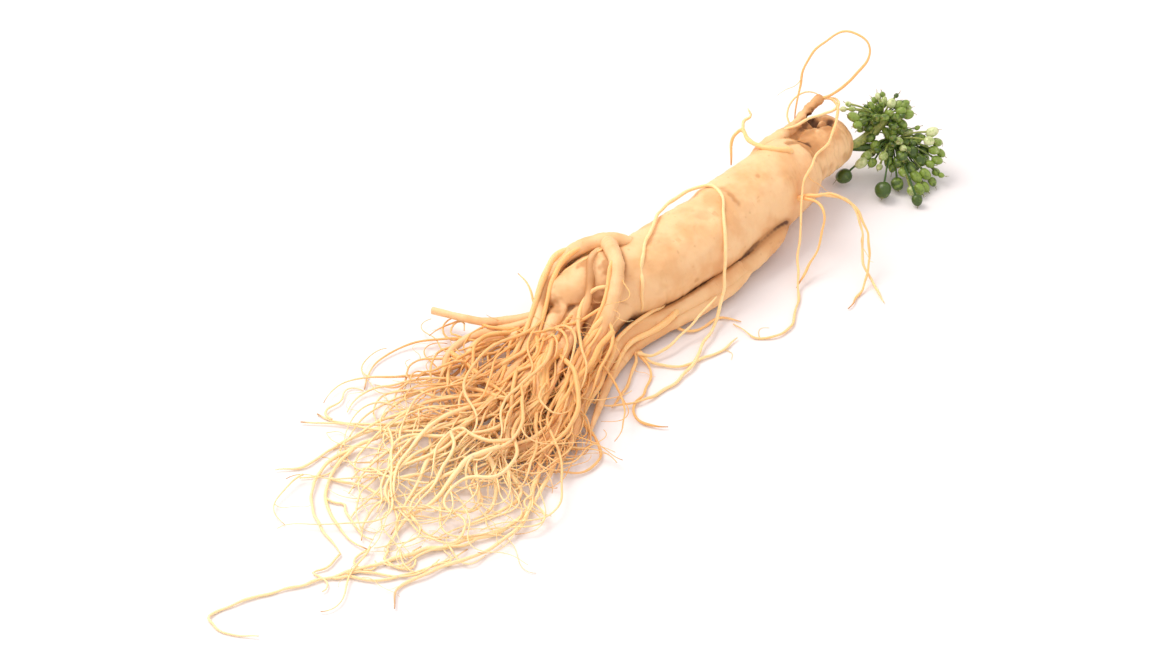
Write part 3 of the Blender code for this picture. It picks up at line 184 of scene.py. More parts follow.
# The fan's rootlets that the eye can follow, from their thick end to their tip: (radius, (x, y, z) places).
ROOTLETS = {
    "bundle_arc": (0.75, [(-82, 1, 16.5), (-87, 0, 16), (-91.5, -3, 15.5), (-95.5, -5, 15),
        (-100.5, -5.5, 14.5), (-105, -5.5, 14), (-110.5, -6, 13.5), (-115, -6, 13), (-118.5, -7.5, 12.4),
        (-122, -10, 11.8), (-125, -13, 11), (-129, -16, 10)]),
    "right_arc": (0.8, [(-89, -4.5, 15), (-91.5, -10, 15.4), (-93, -14, 15.2), (-96.5, -18.5, 14.6),
        (-100, -22.5, 13.4), (-104, -26, 12), (-107.5, -27, 10.4), (-111, -27.5, 9), (-115.5, -27, 7.6),
        (-119.5, -26, 6.4), (-122.5, -25, 5), (-125.5, -23, 3.6), (-127.5, -21, 3), (-127, -18, 4)]),
    "bundle_drop": (0.7, [(-62, 1, 20), (-64.5, 3.5, 19.6), (-69, 3, 18.8), (-73.5, 1, 17.8), (-78, -2.5, 17),
        (-81.5, -6.5, 16.4), (-85, -10.5, 15.8), (-88.5, -15.5, 14.6), (-93, -18.5, 13), (-98.5, -21, 12)]),
    "bundle_cross": (0.65, [(-63.5, -2, 18.6), (-67.5, -2.5, 18), (-72, -2, 17.4), (-76.5, -1, 16.8),
        (-80.5, 2, 16), (-85, 5, 15), (-87.5, 9, 13.6), (-88.5, 14, 12)]),
    "hook_low": (0.5, [(-86, 6.5, 14.4), (-83.5, 4, 15.6), (-83, 0.5, 16.2), (-84.5, -3, 16.2),
        (-87.5, -6.5, 15.8), (-91, -8, 15), (-94.5, -9.5, 14)]),
    "hook_high": (0.5, [(-84, 3, 16), (-81, 1, 16.8), (-81, -2, 17.2), (-83, -6, 17), (-87, -9, 16.4),
        (-91.5, -11.5, 15.4), (-95.5, -13.5, 14.2)]),
    "right_drop": (0.65, [(-67, -7, 16), (-71, -11.5, 15), (-75, -14.5, 14), (-79.5, -16, 13),
        (-84, -17.5, 12), (-88, -19.5, 10.6), (-92, -21, 8.6), (-95, -21.5, 6.4), (-98, -23, 4)]),
    "right_edge": (0.75, [(-68, -11.5, 9), (-74.5, -14, 8.6), (-80.5, -16.5, 7.6), (-85.5, -19, 6.6),
        (-90.5, -20, 5.4), (-95, -21.5, 4.2), (-99.5, -23.5, 2.6), (-104, -25.5, 1.6)]),
    "right_inner": (0.95, [(-72.5, -10, 15.4), (-77.5, -11.5, 14.6), (-81.5, -13.5, 14), (-86, -15, 13.6),
        (-91, -16, 13.4), (-96.5, -17, 13), (-102, -19, 12.4), (-107, -20, 11.4), (-111.5, -21.5, 10),
        (-116, -22.5, 8)]),
    "ladder": (0.5, [(-108, -9.5, 12.6), (-113, -9.5, 12.2), (-118, -10, 11.8), (-122, -12, 11.2),
        (-126, -15, 10.4)]),
    "low_loop": (0.6, [(-109.5, -11, 12), (-115, -14, 11.6), (-121, -17, 11), (-126.5, -18.5, 10.2),
        (-131, -17.5, 9.6), (-133.5, -15, 9), (-136, -13.5, 8.4), (-139, -13, 7.6), (-141.5, -13.5, 6.4),
        (-143.5, -15, 4.6), (-145.5, -17.5, 2.8), (-145, -21.5, 1.6), (-143.5, -24.5, 1.4),
        (-142, -27, 1.4)]),
    "arch": (0.6, [(-126.5, -19, 10), (-129.5, -16.5, 10.2), (-131.5, -13.5, 10.2), (-132.5, -10.5, 10.2),
        (-133, -7, 10.2), (-133, -3, 10.2), (-135, -1.5, 9.8), (-138, -1, 9), (-141.5, -1.5, 8),
        (-145.5, -4, 7), (-149, -6.5, 6), (-153, -9, 5)]),
    "arch_drop": (0.6, [(-135, -1, 9.4), (-138, -5, 8.6), (-142.5, -7.5, 7.8), (-146, -8.5, 7.2),
        (-149.5, -10, 6.6), (-153, -11.5, 6), (-156, -12, 5.2), (-159.5, -12, 4.6), (-163, -12.5, 3.8),
        (-167, -12.5, 3)]),
    "long_curve": (0.75, [(-112.5, -0.5, 10.4), (-118, 0.5, 10), (-123, 2, 9.6), (-128, 4, 9.2),
        (-132.5, 5.5, 8.8), (-137, 6, 8.4), (-142, 5.5, 7.8), (-147, 4.5, 7.2), (-150.5, 4, 6.6),
        (-154.5, 3, 6), (-158, 1, 5), (-161, -1.5, 4.2), (-164, -5, 3.4), (-165.5, -9.5, 2.8),
        (-166.5, -13, 2.2)]),
    "stout_low": (1, [(-110, 0.5, 9.4), (-116.5, 0.5, 8.8), (-122, 0, 8.2), (-127.5, -1, 7.6),
        (-133.5, -1, 7), (-140, -1, 6.2), (-146.5, -2, 5.4), (-152, -4.5, 4.4), (-158.5, -7, 3.2),
        (-164, -9, 2.4), (-169.5, -11.5, 1.8), (-175, -14, 1.5)]),
    "stout_near": (0.95, [(-130, -17, 8.6), (-134.5, -14.5, 7.8), (-139.5, -12.5, 7), (-144.5, -13, 6),
        (-149.5, -13.5, 5), (-154, -14.5, 4), (-159, -14.5, 3), (-163, -13.5, 2.4), (-166.5, -13, 2),
        (-171, -14, 1.6), (-175.5, -15.5, 1.4), (-180, -17.5, 1.3)]),
    "ring_root": (0.95, [(-103.5, 28, 4.6), (-105.5, 23, 5.6), (-108, 15, 7), (-110, 7.5, 8.4),
        (-111.5, 0, 9.6), (-113.5, -6.5, 10)]),
    "row_root": (0.85, [(-112.5, -5.5, 9.6), (-113.5, -1, 9), (-113.5, 5.5, 7.6), (-115, 12.5, 6),
        (-118, 19, 4.8), (-123, 23, 3.8), (-129, 25.5, 3), (-135.5, 26, 2.2), (-142.5, 24.5, 1.6)]),
    "far_arc": (0.55, [(-108, 1.5, 8.6), (-109.5, 10.5, 7), (-113.5, 18, 5.6), (-118, 25, 4.4),
        (-122.5, 30.5, 3.2), (-127, 33.5, 2.4), (-131, 37, 1.8), (-136, 38.5, 1.3), (-141, 38, 1),
        (-144.5, 36.5, 0.8)]),
    "left_row": (0.5, [(-128, 8.5, 6.4), (-134.5, 14.5, 4.4), (-140.5, 20, 3), (-144.5, 25.5, 2),
        (-148.5, 32.5, 1.2), (-150.5, 38.5, 0.9), (-151, 43, 0.8)]),
    "left_hook": (0.5, [(-123.5, 13, 6.4), (-131, 18, 5), (-137.5, 21.5, 3.8), (-143, 24.5, 2.8),
        (-148.5, 25.5, 2.2), (-153.5, 26, 1.6), (-157.5, 25.5, 1.3), (-161, 22.5, 1.1), (-164.5, 20.5, 0.9),
        (-168.5, 20.5, 0.8), (-172.5, 23, 0.8), (-175.5, 25.5, 0.8)]),
    "left_rim": (0.6, [(-155, 17, 3), (-159.5, 19, 2), (-162.5, 20.5, 1.4), (-167, 19.5, 1.1),
        (-171.5, 17, 1), (-176, 13.5, 0.9), (-179.5, 8, 0.9), (-182, 2.5, 0.9), (-184, -3.5, 0.9),
        (-184.5, -8.5, 1), (-184, -13, 1)]),
    "web_s": (0.5, [(-167.5, 15.5, 0.9), (-167, 13, 0.9), (-166, 9.5, 1.3), (-165.5, 5, 1.9),
        (-165.5, -0.5, 2.4), (-166.5, -6, 2.8), (-167, -10.5, 2.6), (-167.5, -15, 2.2), (-168.5, -19, 1.8),
        (-168.5, -23, 1.5), (-166, -26.5, 1.2)]),
    "web_c": (0.6, [(-140.5, 2, 8), (-148, 2.5, 6.2), (-155.5, 2.5, 5), (-160.5, 1.5, 4.2), (-164.5, -1, 3.4),
        (-166.5, -5, 3), (-168, -9, 2.5), (-170.5, -12.5, 1.9), (-174.5, -14.5, 1.5), (-179.5, -16, 1.1)]),
    "web_k": (0.6, [(-143.5, -10.5, 6), (-150.5, -10, 5), (-156.5, -9.5, 4), (-161.5, -10, 3.2),
        (-165, -12.5, 2.6), (-166.5, -16.5, 2), (-167.5, -20.5, 1.6), (-166.5, -24.5, 1.3),
        (-163.5, -27.5, 1.1)]),
    "near_loop": (0.85, [(-134, -13.5, 8), (-134, -16, 6.4), (-135.5, -19.5, 4.4), (-138.5, -23, 2.8),
        (-142.5, -26.5, 1.8), (-146.5, -28.5, 1.3), (-150.5, -28.5, 1.1), (-153.5, -27.5, 1.1)]),
    "near_band": (0.65, [(-131.5, -19.5, 5), (-133.5, -26, 3.4), (-135.5, -31, 2.4), (-139.5, -32.5, 1.8),
        (-144.5, -31.5, 1.4), (-150, -30, 1.2), (-155.5, -28, 1.1), (-161, -26, 1), (-165.5, -25, 1)]),
    "right_tongue": (0.55, [(-117.5, -22, 7), (-115, -24, 4.4), (-112, -26.5, 2.6), (-109.5, -29.5, 1.3),
        (-106.5, -31.5, 1), (-103.5, -31.5, 1), (-102, -29, 1.2)]),
    "net_top": (0.5, [(-158, -36, 0.9), (-162.5, -34, 1.1), (-166, -31, 1.3), (-170.5, -28, 1.4),
        (-176, -26, 1.2), (-181, -25.5, 1), (-184, -23, 0.9), (-185, -19.5, 0.9)]),
    "mid_a": (0.5, [(-111.5, 7, 7.6), (-115.5, 15, 6), (-122, 21.5, 4.6), (-129, 26, 3.6), (-135, 28.5, 2.8),
        (-142, 29.5, 2), (-148.5, 28.5, 1.4), (-154.5, 26.5, 1)]),
    "mid_b": (0.6, [(-113.5, 1, 8.4), (-118.5, 8.5, 7), (-124, 14.5, 5.8), (-130.5, 18.5, 4.8),
        (-138, 20, 3.8), (-146, 20, 2.9), (-153, 19, 2.1), (-158.5, 17.5, 1.5), (-162.5, 14, 1.2),
        (-164.5, 10, 1.1)]),
    "mid_c": (0.6, [(-125.5, -1.5, 7.4), (-132, 3, 6.8), (-139, 6.5, 6.2), (-145.5, 9.5, 5.2),
        (-152, 11, 4.2), (-158, 11.5, 3.1), (-162.5, 11, 2.1), (-167.5, 10, 1.4), (-170.5, 9, 1)]),
    "mid_d": (0.55, [(-134.5, -5.5, 7.4), (-142, -3, 6.8), (-148.5, -0.5, 6), (-153.5, 2.5, 5), (-158, 6, 4),
        (-161, 10, 3), (-161.5, 16, 2), (-160, 20.5, 1.4)]),
    "mid_e": (0.5, [(-122.5, 9.5, 6.6), (-124, 18.5, 5), (-125.5, 26, 3.8), (-129, 30.5, 2.8),
        (-133.5, 32.5, 1.9), (-138.5, 30.5, 1.3), (-142, 25.5, 1.2)]),
    "mid_g": (0.5, [(-143.5, 7.5, 6.6), (-149.5, 7, 5.8), (-154.5, 6, 5), (-159.5, 4, 4.4),
        (-163.5, 1.5, 3.6), (-166.5, -2, 2.8), (-171, -4, 1.8)]),
    "end_far": (0.5, [(-80.5, 10, 12), (-78, 14, 12.6), (-75.5, 19, 13), (-72, 23.5, 13.2), (-69, 28.5, 13),
        (-67, 34, 12.4)]),
}

# Finer rootlets that the eye can follow, in the same way.
FINE_ROOTLETS = {
    "crown_ring": (0.34, [(43.8, 8.2, 25), (46.3, 12.1, 26.5), (49.5, 13.9, 29), (52.9, 13.6, 31),
        (56.8, 11.9, 31.4), (58.7, 9.4, 30.8), (59.6, 7.8, 29.6)]),
    "arc_lining": (1.3, [(-47, 14, 22.5), (-51, 16, 22), (-54, 18, 20.5), (-57.5, 20, 18.6),
        (-60.5, 20.5, 16.6), (-63.5, 20.5, 14.4), (-67, 19, 12.6), (-72, 16.5, 11.4)]),
    "hook_small": (0.42, [(-87.5, 3.5, 15), (-85.5, 1.5, 15.6), (-87, -1.5, 15.8), (-90, -4, 15.4),
        (-93, -5.5, 14.4)]),
    "valley_hook": (0.45, [(-99, -10.5, 14), (-104.5, -11.5, 13.2), (-108.5, -13.5, 12.8),
        (-110, -17.5, 12.4), (-110, -21, 11.8), (-107.5, -22.5, 11), (-103.5, -23, 10.6)]),
    "far_thin": (0.42, [(-94, 25, 8), (-97, 29.5, 6.4), (-101.5, 37, 3.6), (-107.5, 44, 1.8),
        (-116, 46.5, 1.1), (-122, 46.5, 0.9), (-127.5, 44, 0.8), (-133, 40, 0.8)]),
    "far_loop": (0.42, [(-103, 18, 6), (-105.5, 25, 4.6), (-108.5, 31, 3.4), (-112.5, 36, 2.4),
        (-116, 36.5, 2), (-120, 33.5, 2), (-120.5, 28.5, 2.2)]),
    "left_low_row": (0.45, [(-136, 7.5, 5.6), (-142, 15, 3.8), (-145.5, 23, 2.4), (-148.5, 31, 1.4),
        (-152.5, 37.5, 0.9), (-157.5, 43.5, 0.8)]),
    "web_w": (0.42, [(-176, 13, 0.8), (-176, 9.5, 0.8), (-174.5, 6.5, 0.8), (-176.5, 4, 0.8),
        (-178, 0.5, 0.8), (-179.5, -3.5, 0.8), (-180.5, -8, 0.9), (-180, -11.5, 1)]),
    "web_v": (0.42, [(-158, 4, 3.6), (-164.5, 2, 2.6), (-170.5, 1.5, 1.7), (-175, 1.5, 1.1),
        (-178, 0.5, 0.9)]),
    "web_u": (0.48, [(-159, -1.5, 3.6), (-165.5, -2.5, 2.4), (-170, -2, 1.7), (-174, -3, 1.2),
        (-178.5, -5, 1), (-182.5, -9, 1)]),
    "right_sprig": (0.42, [(-119.5, -26.5, 4), (-121, -28.5, 1.6), (-122, -30, 1.1), (-119, -29, 0.9),
        (-115.5, -29.5, 0.8), (-113.5, -31, 0.8), (-111.5, -32, 0.8)]),
    "right_tip": (0.45, [(-131.5, -19.5, 4.4), (-130.5, -23, 2.4), (-129, -27, 1.1), (-128, -30.5, 0.8),
        (-127, -33.5, 0.8)]),
    "net_low": (0.45, [(-197, -10, 0.8), (-195, -15, 0.8), (-194, -19, 0.8), (-192, -23, 0.8),
        (-188.5, -26, 0.8), (-184.5, -28, 0.8), (-180, -30.5, 0.9), (-175, -32.5, 0.9), (-169.5, -34.5, 0.9),
        (-163.5, -35, 0.9)]),
    "net_mid": (0.42, [(-194, -12, 0.8), (-192, -17, 0.8), (-189, -21.5, 0.8), (-187, -25.5, 0.8),
        (-184.5, -29, 0.8), (-181, -31.5, 0.8), (-177, -32, 0.9), (-172.5, -31.5, 0.9)]),
    "net_eye": (0.42, [(-176, -19.5, 1.1), (-179.5, -18.5, 1), (-183, -19, 0.9), (-183.5, -22.5, 0.9),
        (-182.5, -26, 0.9), (-180, -28, 0.9), (-177, -26.5, 0.9), (-175.5, -23.5, 1), (-172, -24, 1.1)]),
    "net_curl": (0.38, [(-184, -13.5, 1.1), (-188, -12.5, 0.9), (-190, -13.5, 0.8), (-190.5, -17, 0.8),
        (-189, -19.5, 0.8), (-186, -19, 0.8), (-185.5, -17.5, 0.8)]),
    "net_tail": (0.38, [(-193, -9.5, 0.9), (-197.5, -9, 0.8), (-201.5, -7.5, 0.8), (-201.5, -10.5, 0.8),
        (-201.5, -13.5, 0.8), (-203, -15.5, 0.8), (-205, -15.5, 0.8)]),
    "mid_f": (0.48, [(-151, -4.5, 5.6), (-157, -1, 4.6), (-159.5, 3.5, 4), (-159.5, 10, 3), (-161.5, 13, 2),
        (-165.5, 12.5, 1.3)]),
    "side_left": (0.42, [(-101.5, 31.5, 4.4), (-105.5, 33, 4), (-110.5, 31.5, 3.4), (-116.5, 26.5, 3.2),
        (-121.5, 20.5, 3.6), (-125.5, 13, 4.6)]),
    "side_curl": (0.42, [(-102, 26, 5), (-106.5, 27, 4), (-111.5, 25.5, 3.4), (-114.5, 21.5, 3.6),
        (-115, 16.5, 4.4), (-115.5, 10, 5.6)]),
    "end_vertical": (0.45, [(-56, 13, 24), (-59, 14, 23), (-62, 13.5, 21), (-65.5, 12, 19), (-69, 10.5, 16.6),
        (-72.5, 10, 14.6), (-76, 11.5, 13), (-79, 13.5, 11.6), (-81.5, 16, 10)]),
    "end_slant": (0.42, [(-49.5, 11, 26), (-53, 11.5, 25.4), (-56.5, 12.5, 24.2), (-60, 14.5, 22.6),
        (-64, 16.5, 20.6), (-68, 17, 17.6), (-71, 17, 14.6), (-74, 16.5, 12.6), (-78.5, 15.5, 11)]),
    "gap_arc": (0.42, [(-93, 28, 7), (-90, 28, 7.6), (-87, 27.5, 8), (-84.5, 26, 8.4), (-83.5, 23, 8.6),
        (-84, 19, 9), (-85.5, 15.5, 9.4)]),
    "cut_loop_a": (0.38, [(-95, 29.5, 6), (-98.5, 34.5, 3), (-97.5, 39.5, 2.4), (-95, 41.5, 3.4),
        (-92.5, 41, 4.6), (-91, 38, 6)]),
    "cut_loop_b": (0.38, [(-96.5, 31.5, 6), (-97, 36.5, 4), (-95, 38, 4.4), (-92.5, 38, 5), (-91.5, 36, 5.6),
        (-94, 33, 5.4)]),
}

# The rest of the fan runs between these guide lines, from the far edge to the near one, in (x, y, z).
FAN_GUIDES = [
    [(-74, 16, 12), (-89, 21, 9), (-106, 23, 6), (-120, 24, 4), (-136, 29, 2.5), (-152, 32, 1)],
    [(-76, 14, 13), (-95, 11, 10), (-115, 10, 6), (-132, 12, 4), (-152, 17, 2.5), (-172, 20, 1)],
    [(-76, 11, 13), (-97, 4, 11), (-117, -1, 7), (-136, 1, 4), (-160, 5, 2.5), (-184, 2, 1)],
    [(-75, 8, 13), (-93, 0, 11), (-113, -7, 7), (-134, -8, 4), (-162, -9, 2.5), (-192, -13, 1)],
    [(-74, 5, 12), (-91, -4, 10), (-112, -12, 7), (-131, -15, 4), (-159, -21, 2.5), (-186, -28, 1)],
    [(-72, 2, 11), (-89, -9, 9), (-108, -18, 6), (-126, -22, 4), (-148, -30, 2), (-170, -36, 1)],
    [(-70, -2, 9), (-85, -14, 7), (-101, -23, 5), (-114, -29, 3), (-132, -34, 2), (-152, -38, 1)],
]

# The fruiting stalk: two branches from one foot, each with its umbel of green berries.
STALKS = {
    "upper": [(64.1, -2.2, 10.8, 1.6), (66, -3.1, 10.8, 1.6), (68.4, -4.6, 12.2, 1.6),
        (71.6, -6.6, 15.2, 1.8), (75.3, -8.5, 20.5, 2.2)],
    "lower": [(64.3, -2.4, 10.7, 1.4), (66.4, -4.1, 10.2, 1.4), (69, -7.4, 10.4, 1.4), (72.4, -11, 11.8, 1.5),
        (75.5, -14, 13.4, 2.2)],
}
# The berries of each umbel: (x, y, z, radius, youth), from 0 for a full dark one to 1 for a pale one.
BERRIES = {
    "upper": [(68.8, -3.9, 20, 1.9, 0.2), (70.6, -5.4, 17.2, 1.6, 0.15), (64, -3.3, 24, 1.8, 0.5),
        (62.9, -6, 22.5, 1.5, 0.4), (69.1, 2.8, 24, 1, 0.8), (68.5, 0.6, 23.2, 1, 0.65),
        (66.4, 2.9, 23.2, 1, 0.85), (77.4, -3.8, 26.1, 1.1, 0.9), (77.5, -6.4, 25.6, 1, 0.8),
        (78.6, -8.7, 24.8, 1.6, 0.85), (80.6, -10.3, 23.7, 1.6, 0.6), (78.9, -12.9, 23.3, 1.5, 0.45),
        (81.4, -14.3, 21.3, 1.8, 0.55), (83.6, -12.2, 21.8, 1.3, 0.65), (76.6, -12.7, 21.4, 1.8, 0.25),
        (78.4, -14.2, 18.6, 1.6, 0.35), (73.9, -13.6, 19.8, 1.5, 0.2), (76, -15.2, 17.3, 1.3, 0.3),
        (74.4, -11.1, 23.9, 1.3, 0.45), (73.4, -1.7, 19.6, 1.4, 0.3), (75.7, -3.2, 17.3, 1.4, 0.2),
        (78.1, -3.7, 20.6, 1.2, 0.35), (78.8, -8, 16.2, 1.6, 0.15), (72.9, -4.1, 21.8, 1, 0.5),
        (69.5, -2.8, 15.3, 1, 0.4)],
    "lower": [(71.8, -17.7, 16.5, 1.6, 0.75), (71.1, -20.5, 15.2, 1.2, 0.8), (79.8, -16.6, 15.1, 1.2, 0.8),
        (78.7, -19.3, 13.6, 1.5, 0.3), (82.2, -20.6, 14, 1.1, 0.35), (84.6, -22.9, 16, 1.8, 0.95),
        (81.1, -24.3, 14.7, 1.7, 0.9), (84.8, -25.2, 12.7, 1.6, 0.6), (81.4, -26.5, 11.7, 1.6, 0.5),
        (83.9, -27.9, 9.7, 1.4, 0.45), (81.1, -28.4, 8.5, 1.6, 0.5), (78.1, -27.6, 8, 1.4, 0.4),
        (79.6, -29.5, 4.6, 1.4, 0.45), (79.6, -31.7, 4.4, 1, 0.4), (76.3, -30.4, 2.6, 1.4, 0.3),
        (74.6, -28.3, 5.9, 1.8, 0.45), (71.3, -26.8, 5.7, 1.8, 0.4), (72.1, -23.5, 7.5, 1.9, 0.2),
        (69.1, -22.7, 7, 1.6, 0.6), (70.3, -19.4, 9.1, 1.8, 0.15), (68.6, -18.3, 6.9, 1.2, 0.3),
        (77.1, -24, 8.5, 2.1, 0.1), (75.9, -21.1, 11.2, 2.1, 0.05), (81.1, -22.6, 10, 1.9, 0.1),
        (70.2, -20.9, 12.5, 1.9, 0.15), (70.5, -15.1, 11.2, 1.8, 0.15), (69.3, -29.9, 3.1, 1.8, 0.4),
        (67.1, -28.1, 2.6, 1.4, 0.75), (72.4, -30.2, 2.4, 1.5, 0.45), (64.3, -32.8, 2.6, 1.8, 0.05),
        (59.4, -21.6, 4, 2.7, 0), (66.4, -22.5, 3.2, 2.1, 0.2), (62.1, -9.5, 8.3, 1.8, 0.85),
        (65.1, -9.3, 9.5, 1.6, 0.65), (64.7, -12.4, 8.3, 1.5, 0.3), (67.9, -9, 9.2, 1.6, 0.2),
        (65, -15.3, 7.8, 1.1, 0.85), (66.4, -15.6, 11.9, 1.5, 0.7), (68.1, -16.7, 9.4, 1.4, 0.25),
        (56.5, -6.5, 4.2, 2.6, 0.02), (67.4, -12.2, 12.3, 1.3, 0.2), (76.5, -18.3, 4.7, 1.6, 0.2),
        (79, -20.9, 3.3, 1.6, 0.2), (83.4, -21.8, 4.8, 1.5, 0.3), (79.9, -15.4, 8.4, 1.6, 0.2),
        (76.7, -11.1, 8.9, 1.5, 0.2)],
}


class Part(Enum):
    """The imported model's nodes, each with its material slot."""

    ROOT = ("root", "root_skin")
    STALK = ("fruiting_stalk", "stalk_green")

    @property
    def node(self) -> str:
        """The node's name."""
        return self.value[0]

    @property
    def slot(self) -> str:
        """The node's material slot."""
        return self.value[1]


# Routes and noise


def smooth_route(points: Route | Array, count: int, samples: int = 8) -> Array:
    """Draws a smooth curve through points by cubic Hermite pieces and divides it evenly.

    Args:
        points: Rows of x, y, z and any further value, such as the radius.
        count: Number of stations wanted.
        samples: Number of points that the curve is measured on, for each station.

    Returns:
        One row for each station, an even distance apart.
    """
    rows = np.array(points, float)
    step = np.linalg.norm(np.diff(rows[:, :3], axis=0), axis=1)
    along = np.concatenate([[0.0], np.cumsum(step)])
    slope = np.gradient(rows, along, axis=0)
    fine = np.linspace(0.0, along[-1], count * samples)
    k = np.clip(np.searchsorted(along, fine, side="right") - 1, 0, len(step) - 1)
    h = step[k][:, None]
    t = ((fine - along[k]) / step[k])[:, None]
    curve = (
        (2 * t**3 - 3 * t**2 + 1) * rows[k]
        + (t**3 - 2 * t**2 + t) * h * slope[k]
        + (3 * t**2 - 2 * t**3) * rows[k + 1]
        + (t**3 - t**2) * h * slope[k + 1]
    )
    gone = np.concatenate([[0.0], np.cumsum(np.linalg.norm(np.diff(curve[:, :3], axis=0), axis=1))])
    wanted = np.linspace(0.0, gone[-1], count)
    return np.stack([np.interp(wanted, gone, column) for column in curve.T], axis=1)


def route_length(points: Route | Array) -> float:
    """Returns the length of the straight runs between a route's points."""
    rows = np.array(points, float)[:, :3]
    return float(np.linalg.norm(np.diff(rows, axis=0), axis=1).sum())


def waves(points: Array, size: float, seed: int, count: int = 14) -> Array:
    """Smooth noise between about -1 and 1: a sum of sine waves that run in random directions.

    Args:
        points: Places, with x, y and z along the last axis.
        size: Rough distance from one bump to the next.
        seed: Seed of the random directions.
        count: Number of waves.

    Returns:
        One value for each place.
    """
    draw = np.random.default_rng(seed)
    aims = draw.normal(size=(count, 3))
    lengths = size * draw.uniform(0.7, 1.5, (count, 1))
    aims *= 2 * math.pi / (lengths * np.linalg.norm(aims, axis=1, keepdims=True))
    phases = draw.uniform(0, 2 * math.pi, count)
    return np.sin(points @ aims.T + phases).sum(axis=-1) / math.sqrt(count)


def gap_to(points: Array, stations: Array) -> tuple[Array, Array]:
    """Finds the nearest round section to each point: the distance to its centre less its radius.

    Args:
        points: Rows of x, y and z.
        stations: Rows of x, y, z and radius.

    Returns:
        The gap of each point, negative inside a section, and the section's row number.
    """
    gaps, rows = [], []
    for block in np.array_split(points, max(1, len(points) * len(stations) // BLOCK_SIZE)):
        reach = np.linalg.norm(block[:, None] - stations[None, :, :3], axis=2) - stations[:, 3]
        rows.append(reach.argmin(axis=1))
        gaps.append(reach.min(axis=1))
    return np.concatenate(gaps), np.concatenate(rows)


def unit(vectors: Array) -> Array:
    """Scales the vectors along the last axis to a length of 1."""
    return vectors / np.linalg.norm(vectors, axis=-1, keepdims=True)


def turns(sides: int) -> Array:
    """Returns the angle of each vertex round a section."""
    return np.arange(sides) * 2 * math.pi / sides


def on_line(values: Array) -> Array:
    """Lays values out as places on the X axis, for waves that run along a root."""
    return np.stack([values, 0 * values, 0 * values], axis=-1)


def evenly(numbers: Array | int) -> Array:
    """Spreads values from 0 to 1 evenly over numbered roots."""
    return (numbers * GOLDEN_RATIO) % 1


# Meshes


@dataclass
class Shell:
    """Vertices and faces of a surface, with the values that its finish reads at each vertex."""

    vertices: Array
    quads: Array
    caps: Array
    marks: dict[str, Array] = field(default_factory=dict)

    def mesh(self, name: str) -> Mesh:
        """Puts the surface into a Blender mesh.

        Args:
            name: The mesh's name.

        Returns:
            The mesh, smooth shaded, in metres, with one attribute for each mark.
        """
        mesh = bpy.data.meshes.new(name)
        corners = np.concatenate([self.quads.ravel(), self.caps.ravel()])
        cap_starts = self.quads.size + np.arange(len(self.caps)) * self.caps.shape[1]
        starts = np.concatenate([np.arange(len(self.quads)) * 4, cap_starts])
        mesh.vertices.add(len(self.vertices))
        mesh.vertices.foreach_set("co", (self.vertices * MM).ravel())
        mesh.loops.add(len(corners))
        mesh.loops.foreach_set("vertex_index", corners)
        mesh.polygons.add(len(self.quads) + len(self.caps))
        mesh.polygons.foreach_set("loop_start", starts)
        mesh.update(calc_edges=True)
        mesh.validate()
        mesh.shade_smooth()
        set_marks(mesh, self.marks)
        return mesh


def set_marks(mesh: Mesh, marks: dict[str, Array]) -> None:
    """Stores each mark as a float attribute on the mesh's vertices.

    Args:
        mesh: The mesh to mark.
        marks: Values by attribute name, one for each vertex.
    """
    for label, values in marks.items():
        attribute = mesh.attributes.new(label, "FLOAT", "POINT")
        attribute.data.foreach_set("value", np.ascontiguousarray(values, dtype=np.float32).ravel())


def frames_along(centres: Array) -> tuple[Array, Array]:
    """Carries two directions square to each curve along it without twist.

    Args:
        centres: Places by tube and station.

    Returns:
        The two directions at each station.
    """
    tangents = unit(np.gradient(centres, axis=1))
    steep = np.abs(tangents[:, 0, 2:]) > 0.9
    side = np.cross(tangents[:, 0], np.where(steep, (1.0, 0.0, 0.0), (0.0, 0.0, 1.0)))
    first = np.empty_like(centres)
    for station in range(centres.shape[1]):
        tangent = tangents[:, station]
        side = unit(side - tangent * np.sum(side * tangent, axis=1, keepdims=True))
        first[:, station] = side
    return first, np.cross(tangents, first)


def tubes(
    stations: Array, sides: int, relief: Array | float = 1.0, marks: dict[str, Array | float] | None = None
) -> Shell:
    """Skins many routes with closed tubes, each vertex at centre + radius * (cos a * across + sin a * up).

    Args:
        stations: x, y, z and radius by tube and station.
        sides: Number of vertices round a section.
        relief: Factors on the radius, by tube, station and side.
        marks: Values that fit the tubes and stations, spread round each section.

    Returns:
        The surface of all the tubes.
    """
    count, length = stations.shape[:2]
    across, up = frames_along(stations[..., :3])
    angle = turns(sides)
    spoke = across[:, :, None] * np.cos(angle)[:, None] + up[:, :, None] * np.sin(angle)[:, None]
    radius = stations[..., 3][..., None] * np.ones(sides) * relief
    vertices = stations[:, :, None, :3] + radius[..., None] * spoke
    ring = np.arange(sides)
    low = (np.arange(count)[:, None] * length + np.arange(length - 1))[..., None] * sides
    near = low + (ring + 1) % sides
    quads = np.stack([low + ring, near, near + sides, low + ring + sides], axis=-1).reshape(-1, 4)
    first = np.arange(count)[:, None] * length * sides
    caps = np.concatenate([first + ring[::-1], first + (length - 1) * sides + ring])
    spread = {}
    for label, values in (marks or {}).items():
        spread[label] = np.broadcast_to(np.asarray(values)[..., None], radius.shape).ravel()
    return Shell(vertices.reshape(-1, 3), quads, caps, spread)


